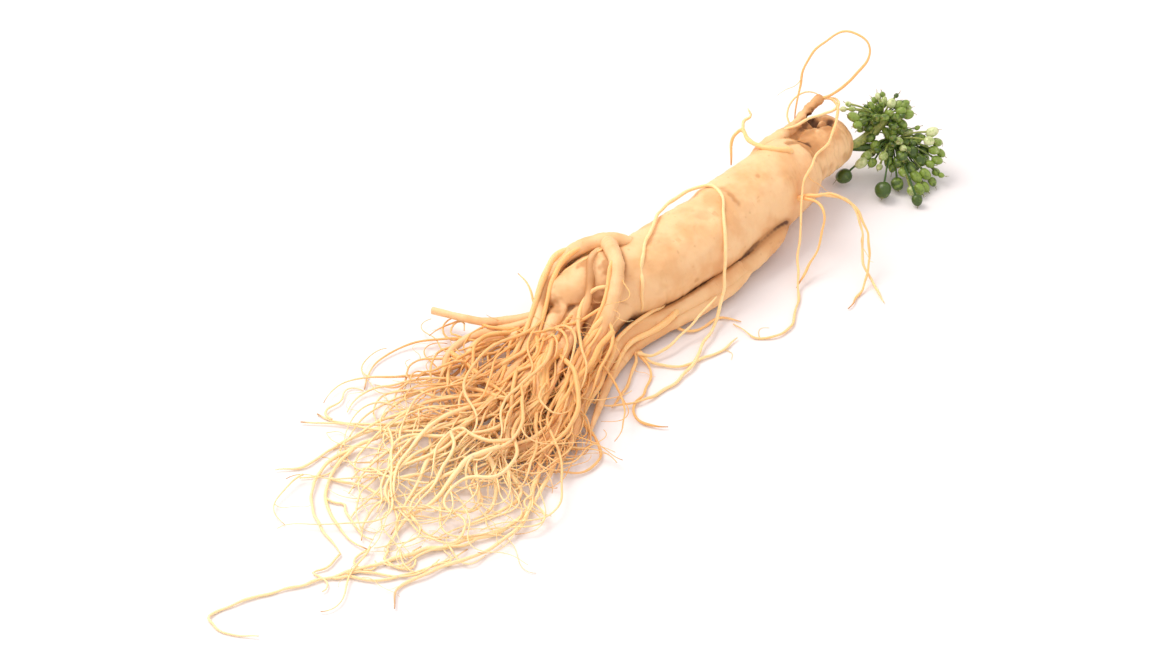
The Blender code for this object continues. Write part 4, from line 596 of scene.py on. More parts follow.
def joined(shells: list[Shell]) -> Shell:
    """Puts several surfaces with the same sides and marks into one."""
    starts = np.cumsum([0] + [len(shell.vertices) for shell in shells])
    return Shell(
        np.concatenate([shell.vertices for shell in shells]),
        np.concatenate([shell.quads + start for shell, start in zip(shells, starts)]),
        np.concatenate([shell.caps + start for shell, start in zip(shells, starts)]),
        {label: np.concatenate([shell.marks[label] for shell in shells]) for label in shells[0].marks},
    )


def add_object(name: str, data: bpy.types.ID) -> bpy.types.Object:
    """Adds an object with its data to the scene."""
    item = bpy.data.objects.new(name, data)
    bpy.context.scene.collection.objects.link(item)
    return item


def add_piece(mesh: Mesh, material: Material, part: Part) -> None:
    """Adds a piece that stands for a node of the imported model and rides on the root's one body.

    Args:
        mesh: The piece's surface, in its place.
        material: The piece's finish.
        part: The node that it stands for.
    """
    mesh.materials.append(material)
    piece = add_object(mesh.name, mesh)
    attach(piece, "root")
    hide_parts(part.node)
    LOG.info("%s: %d faces", piece.name, len(mesh.polygons))


def kept_up(stations: Array) -> Array:
    """Lifts stations whose round section would dip into the table."""
    stations = stations.copy()
    stations[..., 2] = np.maximum(stations[..., 2], stations[..., 3] + FLOOR_GAP)
    return stations


# The root


@dataclass
class RootBody:
    """The body with its crown head, the stem stub and the swellings that the legs grow from.

    The rough forms are skinned as tubes, melted into one skin by a voxel remesh, and then given their
    relief by a formula along the normals.
    """

    body_stations: int = 220
    body_sides: int = 72
    start_sides: int = 24
    voxel: float = 0.48
    smoothing: int = 14
    # The skin gets soil and painted shade where it is more hollow than the first value, per mm, and is dark
    # with them from the second.
    hollow_span: tuple[float, float] = (0.12, 0.34)
    hollow_rounds: int = 3
    hollow_depth: float = 0.35
    hollow_shade: float = 0.86
    # Where the side leg swells out of the body its crease is shallow and gets little of the soil and painted
    # shade.
    shallow_x: float = 13.0
    shallow_width: float = 8.0
    # Soil and painted shade where a root touches the body: how far they reach, and a fainter band's reach and
    # share.
    soil_shade_reach: float = 0.55
    faint_soil_shade_reach: float = 3.5
    faint_soil_shade: float = 0.26
    # The crown's rings are higher and its skin browner from here on, and this is how fast it changes.
    crown_x: float = 34.0
    crown_blend: float = 4.0
    crown_shade: float = 0.3
    # Distances between the fine growth rings, and between the broad ones.
    fine_pitch: float = 1.9
    broad_pitch: float = 5.3
    # Bumps: (height, size, seed).
    bumps: tuple[tuple[float, float, int], ...] = ((0.30, 17.0, 1), (0.10, 6.0, 2), (0.035, 2.4, 3))
    # Lobes: (height as a share of the radius, number round the body, mm per radian of twist, turn).
    lobes: tuple[tuple[float, ...], ...] = ((0.022, 2, 23.0, 0.0), (0.018, 3, -17.0, 1.0))
    # How far each root that grows from the body is part of its melted skin.
    root_starts: dict[str, float] = field(default_factory=lambda: {
        "crown_stub": 60, "side_leg": 34, "leg_middle": 24, "leg_near": 24,
        "leg_far": 22, "leg_low": 24, "wrap_band": 7, "wrap_arc": 7, "loop_inner": 9,
    })
    # Old stem scars, hollows and patches of painted shade: (x, y, z, depth, width, darkness).
    scars: tuple[tuple[float, ...], ...] = (
        (52.4, 5.4, 25.4, 1.9, 2, 1), (51, 3, 25.2, 2.2, 2.3, 1), (56, 0.2, 24.9, 1.7, 1.9, 1),
        (53.2, 6.4, 25, 0, 3, 0.96), (57.1, 1.4, 25, 0, 2.9, 0.97), (52.8, 0.8, 25.4, 0.3, 4.8, 0.45),
        (46, 2.4, 25.2, 0.2, 4.4, 0.42), (50.3, -2, 25, 0, 6.5, 0.26), (59.9, -0.8, 23.8, 0.2, 2.8, 0.3),
        (38.8, -1, 26.1, 0, 3.4, 0.4), (60.4, 8, 30.2, 0.3, 1.8, 0.85), (56, 6.6, 27.2, 0.2, 1.7, 0.6),
        (-16.7, -2.4, 27.1, 0.25, 3.4, 0.2), (-36.8, -1, 26.6, 0.25, 4.2, 0.18),
        (11.6, -3.2, 27.3, 0.2, 1.1, 0.36), (8.6, -13.4, 19.6, 0.2, 1.2, 0.28),
        (-31.4, -13.1, 13.2, 0.2, 1.4, 0.3), (20, -6.6, 25.6, 0.2, 2.4, 0.14),
        (-9, 9.4, 23.6, 0.5, 3.2, 0.2), (-46, -11, 17, 0.3, 2.4, 0.15), (24, 9, 22.6, 0.4, 2.4, 0.16),
        (-74.6, 12, 16, 0.4, 2.6, 0.3), (6, 13.6, 13, 0.5, 2.6, 0.35), (-28, 14, 15, 0.4, 2.2, 0.3),
        # The last five are painted shade between the roots wrapped over the body's lower end.
        (-57, 4, 25.2, 0.1, 2.8, 0.62), (-59.6, 11.9, 24.6, 0.1, 2.8, 0.5),
        (-64.8, -0.1, 18.4, 0.1, 2.8, 0.52), (-75.4, 11.3, 16.8, 0.2, 3.6, 0.48),
        (-77.4, 12.6, 14.4, 0.1, 2.6, 0.54),
    )
    # Folds along a line on the skin: (depth, width, darkness, its places).
    folds: tuple[tuple[float, float, float, Route], ...] = (
        (0.8, 1.6, 0.72, [(33, 1, 27.1), (35.4, 0.7, 26.9), (38.2, 0.6, 26.4), (38.4, -1.4, 26.2),
                          (38.8, -3.2, 25.6), (38.9, -5.4, 24.5), (38.7, -7.4, 23)]),
        # The next three are painted shade in the neck crease: they darken the skin without sinking it.
        (0, 2.3, 0.98, [(40.3, 1.4, 24.8), (40.9, -0.1, 24.5), (41, -1.8, 24.3)]),
        (0, 1.8, 0.66, [(41, -1.8, 24.3), (41.2, -5, 23.6), (41, -7.2, 22.5)]),
        (0, 3.8, 0.48, [(40.6, 3, 25.4), (42, -1, 25), (42, -5, 23.6)]),
        (0.7, 1.1, 0.7, [(55.8, 4.6, 25), (52.2, 4.6, 25.6), (48.4, 4.6, 25.4)]),
        (0.35, 1.1, 0.42, [(-2.1, 1.6, 27.2), (-2.3, -0.7, 27.3), (-2.6, -3.6, 26.8), (-2.4, -6.5, 25.7)]),
    )
    # Creases across the body: (x, lean per mm of height, depth, width, darkness).
    creases: tuple[tuple[float, ...], ...] = (
        (40.4, 0.10, 0.8, 1.2, 0.5), (38.6, 0.16, 0.25, 0.7, 0.25), (-44, -0.12, 0.28, 0.8, 0.2),
        (-37.2, -0.06, 0.22, 0.7, 0.12), (47.5, 0.05, 0.2, 0.6, 0.2), (30.5, 0.2, 0.15, 0.8, 0.06),
    )

    def body_grid(self) -> Shell:
        """Skins the body's route: radius = r * (1 + lobes), flattened where it would dip into the table."""
        rows = smooth_route(BODY_ROUTE[::-1], 400)
        half = (rows[-1, 0] - rows[0, 0]) / 2
        x = (rows[0, 0] + rows[-1, 0]) / 2 - half * np.cos(np.linspace(0.0, math.pi, self.body_stations))
        y, z, r = (np.interp(x, rows[:, 0], rows[:, i])[:, None] for i in (1, 2, 3))
        x = x[:, None]
        angle = turns(self.body_sides)
        radius = r * np.ones(self.body_sides)
        for share, number, twist, turn in self.lobes:
            radius = radius + share * r * np.cos(number * angle + x / twist + turn)
        height = np.maximum(z + radius * np.cos(angle), 0.0)
        grid = np.stack([x + 0 * radius, y - radius * np.sin(angle), height], axis=2)
        straight = np.zeros((1, self.body_stations, 4)) + np.arange(self.body_stations)[:, None]
        shell = tubes(straight, self.body_sides)
        return Shell(grid.reshape(-1, 3), shell.quads, shell.caps)

    def root_start(self, name: str, reach: float) -> Shell:
        """Skins the first stretch of a root, thinned at its far end, where the root's own skin takes over."""
        stations = smooth_route(LEGS[name], int(route_length(LEGS[name])))[: int(reach)]
        share = np.linspace(0.0, 1.0, len(stations))
        if name != WHOLE_STUB:
            stations[:, 3] *= 1.04 - 0.3 * np.clip((share - 0.6) / 0.4, 0, 1) ** 2
        return tubes(kept_up(stations)[None], self.start_sides)

    def melted(self) -> Mesh:
        """Melts the rough forms into one closed skin and rounds the seams between them."""
        rough = [self.body_grid()]
        rough += [self.root_start(name, reach) for name, reach in self.root_starts.items()]
        scratch = [add_object(f"rough_{i}", shell.mesh(f"rough_{i}")) for i, shell in enumerate(rough)]
        with bpy.context.temp_override(active_object=scratch[0], selected_editable_objects=scratch):
            bpy.ops.object.join()
        remesh = scratch[0].modifiers.new("melt", "REMESH")
        remesh.mode = "VOXEL"
        remesh.voxel_size = self.voxel * MM
        smooth = scratch[0].modifiers.new("round", "SMOOTH")
        smooth.factor = 0.5
        smooth.iterations = self.smoothing
        graph = bpy.context.evaluated_depsgraph_get()
        mesh = bpy.data.meshes.new_from_object(scratch[0].evaluated_get(graph))
        mesh.name = "root_body"
        bpy.data.objects.remove(scratch[0])
        return mesh

    def hollows(self, mesh: Mesh, places: Array, normals: Array) -> Array:
        """Measures how hollow the skin is: 4 * how far the mean of its neighbours stands out / voxel ** 2.

        Args:
            mesh: The skin.
            places: Its vertices.
            normals: Their normals.

        Returns:
            The curvature at each vertex, per mm and above 0 in a crease, evened out over its neighbours.
        """
        ends = np.empty(len(mesh.edges) * 2, np.int32)
        mesh.edges.foreach_get("vertices", ends)
        near = np.concatenate([ends[0::2], ends[1::2]])
        far = np.concatenate([ends[1::2], ends[0::2]])
        number = np.bincount(near, minlength=len(places))
        out = np.zeros(len(places))
        for place, normal in zip(places.T, normals.T):
            out += (np.bincount(near, place[far], len(places)) / number - place) * normal
        for _ in range(self.hollow_rounds):
            out = np.bincount(near, out[far], len(places)) / number
        return 4 * out / self.voxel**2

    def hollow_share(self, mesh: Mesh, places: Array, normals: Array) -> Array:
        """Returns how much of a deep hollow each place of the skin is in, in uneven patches."""
        low, high = self.hollow_span
        share = np.clip((self.hollows(mesh, places, normals) - low) / (high - low), 0, 1)
        share *= np.clip(0.9 + 0.4 * waves(places, 7.0, seed=12), 0.2, 1)
        return share * (1 - 0.8 * np.exp(-(((places[:, 0] - self.shallow_x) / self.shallow_width) ** 2)))

    def soil_and_shade(self, places: Array, neighbours: Array) -> Array:
        """Works out how dark the skin is with soil and painted shade along the roots that touch it.

        Args:
            places: Vertices of the skin.
            neighbours: Stations of those roots, and how dark the crease is at each.

        Returns:
            The darkness: strongest where both the root and the body's own round form are close.
        """
        gap, row = gap_to(places, neighbours[:, :4])
        body_gap = gap_to(places, smooth_route(BODY_ROUTE, 200))[0]
        apart = np.maximum(np.abs(gap) + 0.6 * np.abs(body_gap) - 0.3, 0)
        faint_soil_shade = self.faint_soil_shade * np.exp(-apart / self.faint_soil_shade_reach)
        return neighbours[row, 4] * (np.exp(-apart / self.soil_shade_reach) + faint_soil_shade)

    def relief(self, places: Array) -> tuple[Array, Array]:
        """Works out how far each place of the skin is raised, and how dark it is.

        The height is a sum of broad bumps, growth rings that are higher at the crown, creases that follow
        a leaning plane, folds along drawn lines and bell-shaped scars.

        Args:
            places: Vertices of the skin.

        Returns:
            The height and the darkness of each vertex.
        """
        x, z = places[:, 0], places[:, 2]
        crown = 1 / (1 + np.exp(-(x - self.crown_x) / self.crown_blend))
        height = sum(size * waves(places, length, seed) for size, length, seed in self.bumps)
        wander = x + 0.9 * waves(places, 12.0, seed=4) + 0.25 * waves(places, 4.0, seed=5)
        strength = np.clip(0.5 + 0.5 * waves(places, 9.0, seed=6), 0, 1)
        height += (0.035 + 0.09 * crown) * strength * np.sin(2 * math.pi * wander / self.fine_pitch)
        height += (0.06 + 0.10 * crown) * np.sin(2 * math.pi * wander / self.broad_pitch)
        dark = self.crown_shade * crown * np.clip(0.4 + 0.6 * waves(places, 5.0, seed=7), 0, 1)
        for place_x, lean, depth, width, shade in self.creases:
            away = x - place_x - lean * (z - 13.0) - 0.5 * waves(places, 11.0, seed=8)
            bell = np.exp(-((away / width) ** 2)) * np.clip(0.65 + 0.5 * waves(places, 15.0, seed=9), 0, 1)
            height -= depth * bell
            dark = np.maximum(dark, shade * bell)
        for depth, width, shade, line in self.folds:
            stations = np.pad(smooth_route(line, 60), ((0, 0), (0, 1)))
            away = gap_to(places, stations)[0] + 0.3 * waves(places, 2.6, seed=11)
            bell = np.exp(-((away / width) ** 2))
            height -= depth * bell
            dark = np.maximum(dark, shade * bell)
        for *place, depth, width, shade in self.scars:
            away = np.linalg.norm(places - np.array(place), axis=1)
            away = away + 0.25 * width * waves(places, 2.2, seed=10)
            height -= depth * np.exp(-((away / width) ** 2))
            dark = np.maximum(dark, shade * np.exp(-((away / width) ** 4)))
        return height, dark

    def build(self, finish: Material, neighbours: Array) -> None:
        """Builds the body's skin as one piece.

        Args:
            finish: The root skin.
            neighbours: Stations of the roots that touch the body, and how dark the crease is at each.
        """
        mesh = self.melted()
        places = np.empty(len(mesh.vertices) * 3, np.float32)
        mesh.vertices.foreach_get("co", places)
        normals = np.empty_like(places)
        mesh.vertices.foreach_get("normal", normals)
        places = places.reshape(-1, 3).astype(float) / MM
        normals = normals.reshape(-1, 3)
        height, dark = self.relief(places)
        hollow = self.hollow_share(mesh, places, normals)
        height -= self.hollow_depth * hollow
        # Soil and painted shade along the touching roots and in the hollows.
        creased = np.maximum(self.soil_and_shade(places, neighbours), self.hollow_shade * hollow)
        dark = np.clip(np.maximum(dark, creased), 0, 1)
        places += normals * (height * np.clip(places[:, 2] / 1.5, 0, 1))[:, None]
        places[:, 2] = np.maximum(places[:, 2], 0.0)
        mesh.vertices.foreach_set("co", (places * MM).ravel())
        body = smooth_route(BODY_ROUTE, 80)
        gap, row = gap_to(places, body)
        along = body[row, 0] + np.clip(gap - 1, 0, None)
        set_marks(mesh, {"along": along, "stain_and_shade": dark, "tone": 0.5 + 0 * along, "tip": 0 * along})
        mesh.update()
        mesh.shade_smooth()
        add_piece(mesh, finish, Part.ROOT)


@dataclass
class Legs:
    """The thick roots: round tubes with faint rings, an uneven girth and shallow lengthwise folds."""

    sides: int = 20
    step: float = 0.8
    ring_height: float = 0.022
    ring_pitch: float = 2.3
    # How far soil and painted shade reach up a leg from the body, and how dark they are where no other value
    # is given.
    soil_shade_reach: float = 0.6
    plain_crease: float = 0.7
    # How many stations of a leg are inside the body.
    foot: int = 5
    # How much thinner a leg's own skin is where the body's skin covers it.
    sunk: float = 0.16
    # Where a leg has left the body: no soil and no painted shade show on it before that.
    free_start: dict[str, float] = field(default_factory=lambda: {
        "leg_middle": 26, "leg_near": 26, "leg_far": 24, "leg_low": 26, "loop_inner": 14,
        "loop_outer": 14, "cut_root": 12, "side_leg": 30, "side_leg_branch": 10,
        "wrap_band": 8, "wrap_arc": 8,
    })
    # How dark the soil and painted shade are in the crease between the body and each root that lies against
    # it.
    creases: dict[str, float] = field(default_factory=lambda: {
        "side_leg": 0.9, "wrap_band": 0.64, "wrap_arc": 0.68, "wrap_inner": 0.64,
    })

    def stations(self, name: str, step: float = 1.6) -> Array:
        """Returns a leg's stations, about a step apart."""
        return kept_up(smooth_route(LEGS[name], round(route_length(LEGS[name]) / step)))

    def all_stations(self) -> Array:
        """Returns the stations of all the legs in one list."""
        return np.concatenate([self.stations(name) for name in LEGS])

    def touching(self) -> Array:
        """Returns the stations of the roots that lie against the body, each with its crease's darkness."""
        rows = []
        for name, darkest in self.creases.items():
            stations = self.stations(name)[self.foot :]
            rows.append(np.column_stack([stations, np.full(len(stations), darkest)]))
        return np.concatenate(rows)

    def skin(self, number: int, name: str) -> Shell:
        """Skins one leg: radius * (1 + bumps + rings + folds), with soil and painted shade where it lies
        against another root.
        """
        stations = self.stations(name, self.step)
        count = len(stations)
        if name != CUT_ROOT:
            stations[:, 3] *= 1 - 0.7 * np.clip(np.linspace(-6.0, 1.0, count), 0, 1)
        along = np.arange(count) * self.step
        angle = turns(self.sides)
        line = on_line(along)
        girth = 0.055 * waves(line, 14.0, 20 + number) + 0.03 * waves(line, 5.0, 40 + number)
        spots = np.stack(np.broadcast_arrays(along[:, None], 3 * np.cos(angle), 3 * np.sin(angle)), axis=2)
        wander = along[:, None] + 0.8 * waves(spots, 6.0, 60 + number)
        rings = self.ring_height * np.sin(2 * math.pi * wander / self.ring_pitch)
        folds = 0.03 * np.cos(3 * angle + along[:, None] / 9.0) + 0.025 * waves(spots, 4.0, 80 + number)
        clear = np.clip((along - self.free_start.get(name, 0.0)) / 6.0, 0, 1)
        relief = (1 + girth[:, None] + rings + folds) * (1 - self.sunk * (1 - clear))[:, None]
        shell = tubes(stations[None], self.sides, relief[None])
        gap = np.maximum(gap_to(shell.vertices, smooth_route(BODY_ROUTE, 90))[0], 0)
        # Soil and painted shade near the body.
        stain_and_shade = self.creases.get(name, self.plain_crease) * np.exp(-gap / self.soil_shade_reach)
        shell.marks = {
            "along": np.repeat(along + 37.0 * number, self.sides),
            "stain_and_shade": stain_and_shade * np.repeat(clear, self.sides),
            "tone": np.full(count * self.sides, evenly(number)),
            "tip": np.repeat(np.linspace(0, 1, count), self.sides),
        }
        return shell

    def build(self, finish: Material) -> None:
        """Builds all the legs as one piece."""
        shells = [self.skin(number, name) for number, name in enumerate(LEGS) if name != WHOLE_STUB]
        add_piece(joined(shells).mesh("root_legs"), finish, Part.ROOT)


@dataclass
class Threads:
    """The single thin roots: slightly wavy tubes with an uneven girth, fine at their tips."""

    sides: int = 10
    step: float = 1.0
    wiggle: float = 0.25
    unevenness: float = 0.12
    slimming: float = 0.82
    tip_share: float = 0.12
    taper: float = 0.6
    # The tip mark at a thread's root: the higher, the paler it is.
    palest: float = 0.45
    # A thread's centre lies this share of its radius, and this much more, over the body's mean surface.
    resting: float = 0.6
    clearance: float = 0.3
    # A thread deeper in the body than this has grown from it and stays as it is.
    buried: float = 0.9

    def stations(self, number: int, name: str) -> Array:
        """Draws one thread: its route with a small wander that fades in from its root."""
        length = route_length(THREADS[name])
        stations = smooth_route(THREADS[name], round(length / self.step))
        share = np.linspace(0, 1, len(stations))
        line = on_line(share * length)
        fade = np.minimum(1, 8 * share)
        for axis in range(3):
            stations[:, axis] += self.wiggle * fade * waves(line, 9.0, 100 + 3 * number + axis)
        stations[:, 3] *= 1 + self.unevenness * waves(line, 6.0, 200 + number)
        stations[:, 3] *= self.slimming
        stations[:, 3] *= 1 - self.taper * np.clip((share - 1 + self.tip_share) / self.tip_share, 0, 1)
        return kept_up(self.laid_on_body(stations))

    def laid_on_body(self, stations: Array) -> Array:
        """Moves stations that are just under the body's skin out from its axis, onto the skin."""
        body = smooth_route(BODY_ROUTE, 200)
        gap, row = gap_to(stations[:, :3], body)
        away = unit(stations[:, :3] - body[row, :3])
        push = np.clip(self.resting * stations[:, 3] + self.clearance - gap, 0, None)
        push *= np.clip(1 + gap / self.buried, 0, 1) ** 0.5
        return np.column_stack([stations[:, :3] + away * push[:, None], stations[:, 3]])

    def skin(self, number: int, stations: Array) -> Shell:
        """Skins one thread's stations."""
        share = np.linspace(0, 1, len(stations))
        marks = {
            "along": share * len(stations) * self.step + 53.0 * number,
            "stain_and_shade": 0.25 * np.clip(1 - 9 * share, 0, 1),
            "tone": evenly(number),
            "tip": self.palest + (1 - self.palest) * share,
        }
        return tubes(stations[None], self.sides, marks=marks)

    def build(self, finish: Material) -> list[Array]:
        """Builds all the threads as one piece and returns the stations of each."""
        stations = [self.stations(number, name) for number, name in enumerate(THREADS)]
        shells = [self.skin(number, thread) for number, thread in enumerate(stations)]
        add_piece(joined(shells).mesh("root_threads"), finish, Part.ROOT)
        return stations


@dataclass
class Fan:
    """The fan of rootlets below the legs.

    Most of what shows was traced. Between those, plainer rootlets wander down lanes between guide lines:
    their heading swings as a sum of two sine waves.
    """

    sides: int = 8
    step: float = 1.4
    tip_radius: float = 0.2
    joining: float = 0.2
    wiggle: float = 0.16
    plain: int = 72
    # The last of the plain ones are the undergrowth among the legs: shorter, stouter, lower and darker with
    # painted shade.
    undergrowth: int = 46
    undergrowth_radius: tuple[float, float] = (0.45, 0.95)
    undergrowth_drop: float = 2.5
    undergrowth_span: tuple[float, float] = (0.25, 0.5)
    plain_stations: int = 72
    plain_sides: int = 6
    plain_radius: tuple[float, float] = (0.3, 0.75)
    lane_samples: int = 60
    # Where on its lane a plain one starts and ends, how high its start lies over the lane, how high it
    # bows, and how far off the lane it lies.
    start: tuple[float, float] = (0.02, 0.5)
    end: tuple[float, float] = (0.55, 0.96)
    lift: tuple[float, float] = (-5.0, 3.0)
    bow: float = 3.0
    scatter: float = 1.6
    swing: tuple[float, float] = (0.5, 1.35)
    swing_length: tuple[float, float] = (38.0, 90.0)
    # The second wave's height and length, as shares of the first one's.
    second_wave: tuple[float, float] = (0.22, 0.33)
    unevenness: float = 0.1
    # Plain rootlets get painted shade near the table, from this x on, and how fast that comes in.
    dark_below: float = 7.0
    dark_from: float = -135.0
    dark_fade: float = 25.0

    def joined_to(self, path: Array, parents: Array, share: float) -> Array:
        """Swings the first share of a path over so that it leaves the nearest station of its parents."""
        parent = parents[np.argmin(np.linalg.norm(parents[:, :3] - path[0, :3], axis=1))]
        ease = np.clip(np.linspace(0, 1, len(path)) / share, 0, 1)
        path = path.copy()
        path[:, :3] += (parent[:3] - path[0, :3]) * (1 - ease * ease * (3 - 2 * ease))[:, None]
        return path

    def traced(self, radius: float, places: Route, parents: Array) -> Array:
        """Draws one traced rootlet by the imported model's rule, but finer at its tip."""
        path = smooth_route(places, round(route_length(places) / self.step))
        path = self.joined_to(path, parents, self.joining)
        u = np.linspace(0, 1, len(path))
        return np.column_stack([path, radius + (self.tip_radius - radius) * u**2.2])

    def lane(self, place: float) -> Array:
        """Returns the line at a place between the guides, from 0 at the far edge to their count less 1."""
        low, share = int(place), place % 1
        guides = np.array(FAN_GUIDES, float)
        return smooth_route(guides[low] * (1 - share) + guides[low + 1] * share, self.lane_samples)

    def plain_path(self, index: int, parents: Array) -> Array:
        """Draws one plain rootlet: it heads down its lane, and its heading swings more and more.

        Args:
            index: The rootlet's number, which seeds its draws.
            parents: Stations of the roots that it can grow from.

        Returns:
            Its stations, with the radius.
        """
        draw = np.random.default_rng(SEED + 1000 + index)
        lane = self.lane(evenly(index) * (len(FAN_GUIDES) - 1))
        under = index >= self.plain
        start, end = draw.uniform(*self.start), draw.uniform(*self.end)
        if under:
            start, end = self.undergrowth_span[0] * start, self.undergrowth_span[1] * end
        length = route_length(lane) * (end - start)
        swings = draw.uniform(*self.swing) * np.array([1.0, self.second_wave[0]])
        lengths = draw.uniform(*self.swing_length) * np.array([1.0, self.second_wave[1]])
        phases = draw.uniform(0, 2 * math.pi, 2)
        slower = max(0.5, 1 - swings[0] ** 2 / 4)
        u = np.linspace(0, 1, self.plain_stations)
        gone = u * length / slower
        share = start + u * (end - start)
        along = np.linspace(0, 1, self.lane_samples)
        lane_at = np.stack([np.interp(share, along, column) for column in lane.T], axis=1)
        course = np.gradient(lane_at, axis=0)
        heading = np.arctan2(course[:, 1], course[:, 0])
        for swing, wave, phase in zip(swings, lengths, phases):
            turn = swing * np.sin(2 * math.pi * gone / wave + phase)
            heading = heading + np.minimum(1.0, 0.3 + 1.5 * u) * turn
        flat = np.stack([np.cos(heading), np.sin(heading)], axis=1) * gone[1]
        path = np.column_stack([lane_at[0, :2] + np.cumsum(flat, axis=0) - flat[0], lane_at[:, 2]])
        path[:, 2] += draw.uniform(*self.lift) * (1 - u) - (self.undergrowth_drop if under else 0)
        path[:, 2] += draw.uniform(0, self.bow) * np.sin(math.pi * u * draw.uniform(1, 2.4)) ** 2
        path[:, :2] += draw.normal(0, self.scatter, 2)
        path = self.joined_to(path, parents, self.joining)
        thinnest, thickest = self.undergrowth_radius if under else self.plain_radius
        radius = thinnest + (thickest - thinnest) * draw.uniform() ** 1.5
        return np.column_stack([path, radius + (0.6 * self.tip_radius - radius) * u**1.6])

    def skin(self, stations: Array, number: int, sides: int) -> Shell:
        """Skins rootlets of the same length together, each with a small wander and an uneven girth.

        Args:
            stations: Stations of each rootlet.
            number: Number of the first one, for its tone.
            sides: Number of vertices round a section.

        Returns:
            The rootlets' surface.
        """
        stations = stations.copy()
        count, length = stations.shape[:2]
        share = np.linspace(0, 1, length)
        numbers = number + np.arange(count)[:, None]
        line = on_line(share * length * self.step + 311.0 * numbers)
        for axis in range(3):
            stations[..., axis] += self.wiggle * np.minimum(1, 6 * share) * waves(line, 15.0, 300 + axis)
        stations[..., 3] *= 1 + self.unevenness * waves(line, 9.0, 310)
        # Painted shade on plain rootlets that lie low among the legs.
        near = np.clip((stations[..., 0] - self.dark_from) / self.dark_fade, 0, 1)
        buried = np.clip(1 - stations[..., 2] / self.dark_below, 0, 1) * near
        stain_and_shade = buried * (sides == self.plain_sides)
        marks = {"along": line[..., 0], "stain_and_shade": stain_and_shade, "tone": evenly(numbers), "tip": share}
        return tubes(kept_up(stations), sides, marks=marks)

    def build(self, finish: Material, roots: Array) -> list[Array]:
        """Builds the traced rootlets as one piece and the plain ones as another.

        Args:
            finish: The rootlets' skin.
            roots: Stations of the roots that they can grow from.

        Returns:
            Stations of each rootlet.
        """
        paths: list[Array] = []
        for radius, places in (ROOTLETS | FINE_ROOTLETS).values():
            paths.append(self.traced(radius, places, np.concatenate([roots, *paths])))
        shells = [self.skin(path[None], number, self.sides) for number, path in enumerate(paths)]
        add_piece(joined(shells).mesh("rootlets_traced"), finish, Part.ROOT)
        parents = np.concatenate([roots, *paths])
        count = self.plain + self.undergrowth
        plain = np.stack([self.plain_path(index, parents) for index in range(count)])
        add_piece(self.skin(plain, len(paths), self.plain_sides).mesh("rootlets_plain"), finish, Part.ROOT)
        return [kept_up(path) for path in [*paths, *plain]]


@dataclass
class Bundle:
    """Thinner roots that lie along the legs and wind slowly over their upper side.

    Their distance from the leg's axis is its radius and half their own, and grows towards their end.
    """

    counts: dict[str, int] = field(default_factory=lambda: {
        "leg_middle": 7, "leg_near": 7, "leg_far": 6, "leg_low": 6, "wrap_band": 5, "wrap_arc": 2,
        "side_leg": 2,
    })
    radius: tuple[float, float] = (0.45, 1.1)
    sides: int = 9
    step: float = 1.2
    start: tuple[float, float] = (0.12, 0.5)
    # A leg that is part of the body's skin this far bears none before that.
    first: dict[str, float] = field(default_factory=lambda: {"side_leg": 0.4})
    reach: tuple[float, float] = (0.35, 0.6)
    # Where they lie round the leg, in radians from its upper side, and how far they wind over their length.
    spread: float = 1.15
    winding: float = 1.3
    lift: float = 3.0
    tip_radius: float = 0.3
    unevenness: float = 0.1
    palest: float = 0.8

    def path(self, name: str, number: int) -> Array:
        """Draws one root: turn = first turn + winding * u + a slow wave, round the leg's axis."""
        draw = np.random.default_rng(SEED + 500 + number)
        leg = smooth_route(LEGS[name], round(route_length(LEGS[name]) / self.step))
        start = max(draw.uniform(*self.start), self.first.get(name, 0.0))
        end = min(0.98, start + draw.uniform(*self.reach))
        leg = leg[round(start * len(leg)) : round(end * len(leg))]
        u = np.linspace(0, 1, len(leg))
        course = unit(np.gradient(leg[:, :3], axis=0))
        aside = unit(np.cross(course, (0.0, 0.0, 1.0)))
        above = np.cross(aside, course)
        turn = draw.uniform(-self.spread, self.spread) + self.winding * draw.uniform(-1, 1) * u
        turn = turn + 0.25 * np.sin(draw.uniform(5, 12) * u + draw.uniform(0, 6))
        radius = draw.uniform(*self.radius)
        away = (leg[:, 3] + 0.5 * radius) * np.clip(9 * u, 0, 1) ** 0.5
        away = away + self.lift * draw.uniform(-0.2, 1) * u**3
        places = leg[:, :3] + (np.sin(turn) * away)[:, None] * aside + (np.cos(turn) * away)[:, None] * above
        return kept_up(np.column_stack([places, radius + (self.tip_radius - radius) * u**2]))

    def skin(self, number: int, stations: Array) -> Shell:
        """Skins one root with an uneven girth."""
        share = np.linspace(0, 1, len(stations))
        along = share * len(stations) * self.step + 70.0 * number
        stations = stations.copy()
        stations[:, 3] *= 1 + self.unevenness * waves(on_line(along), 7.0, 520)
        marks = {"along": along, "stain_and_shade": 0.0, "tone": evenly(number), "tip": self.palest * share}
        return tubes(stations[None], self.sides, marks=marks)

    def build(self, finish: Material) -> list[Array]:
        """Builds them as one piece and returns the stations of each."""
        names = [name for name, count in self.counts.items() for _ in range(count)]
        paths = [self.path(name, number) for number, name in enumerate(names)]
        shells = [self.skin(number, path) for number, path in enumerate(paths)]
        add_piece(joined(shells).mesh("bundle_roots"), finish, Part.ROOT)
        return paths


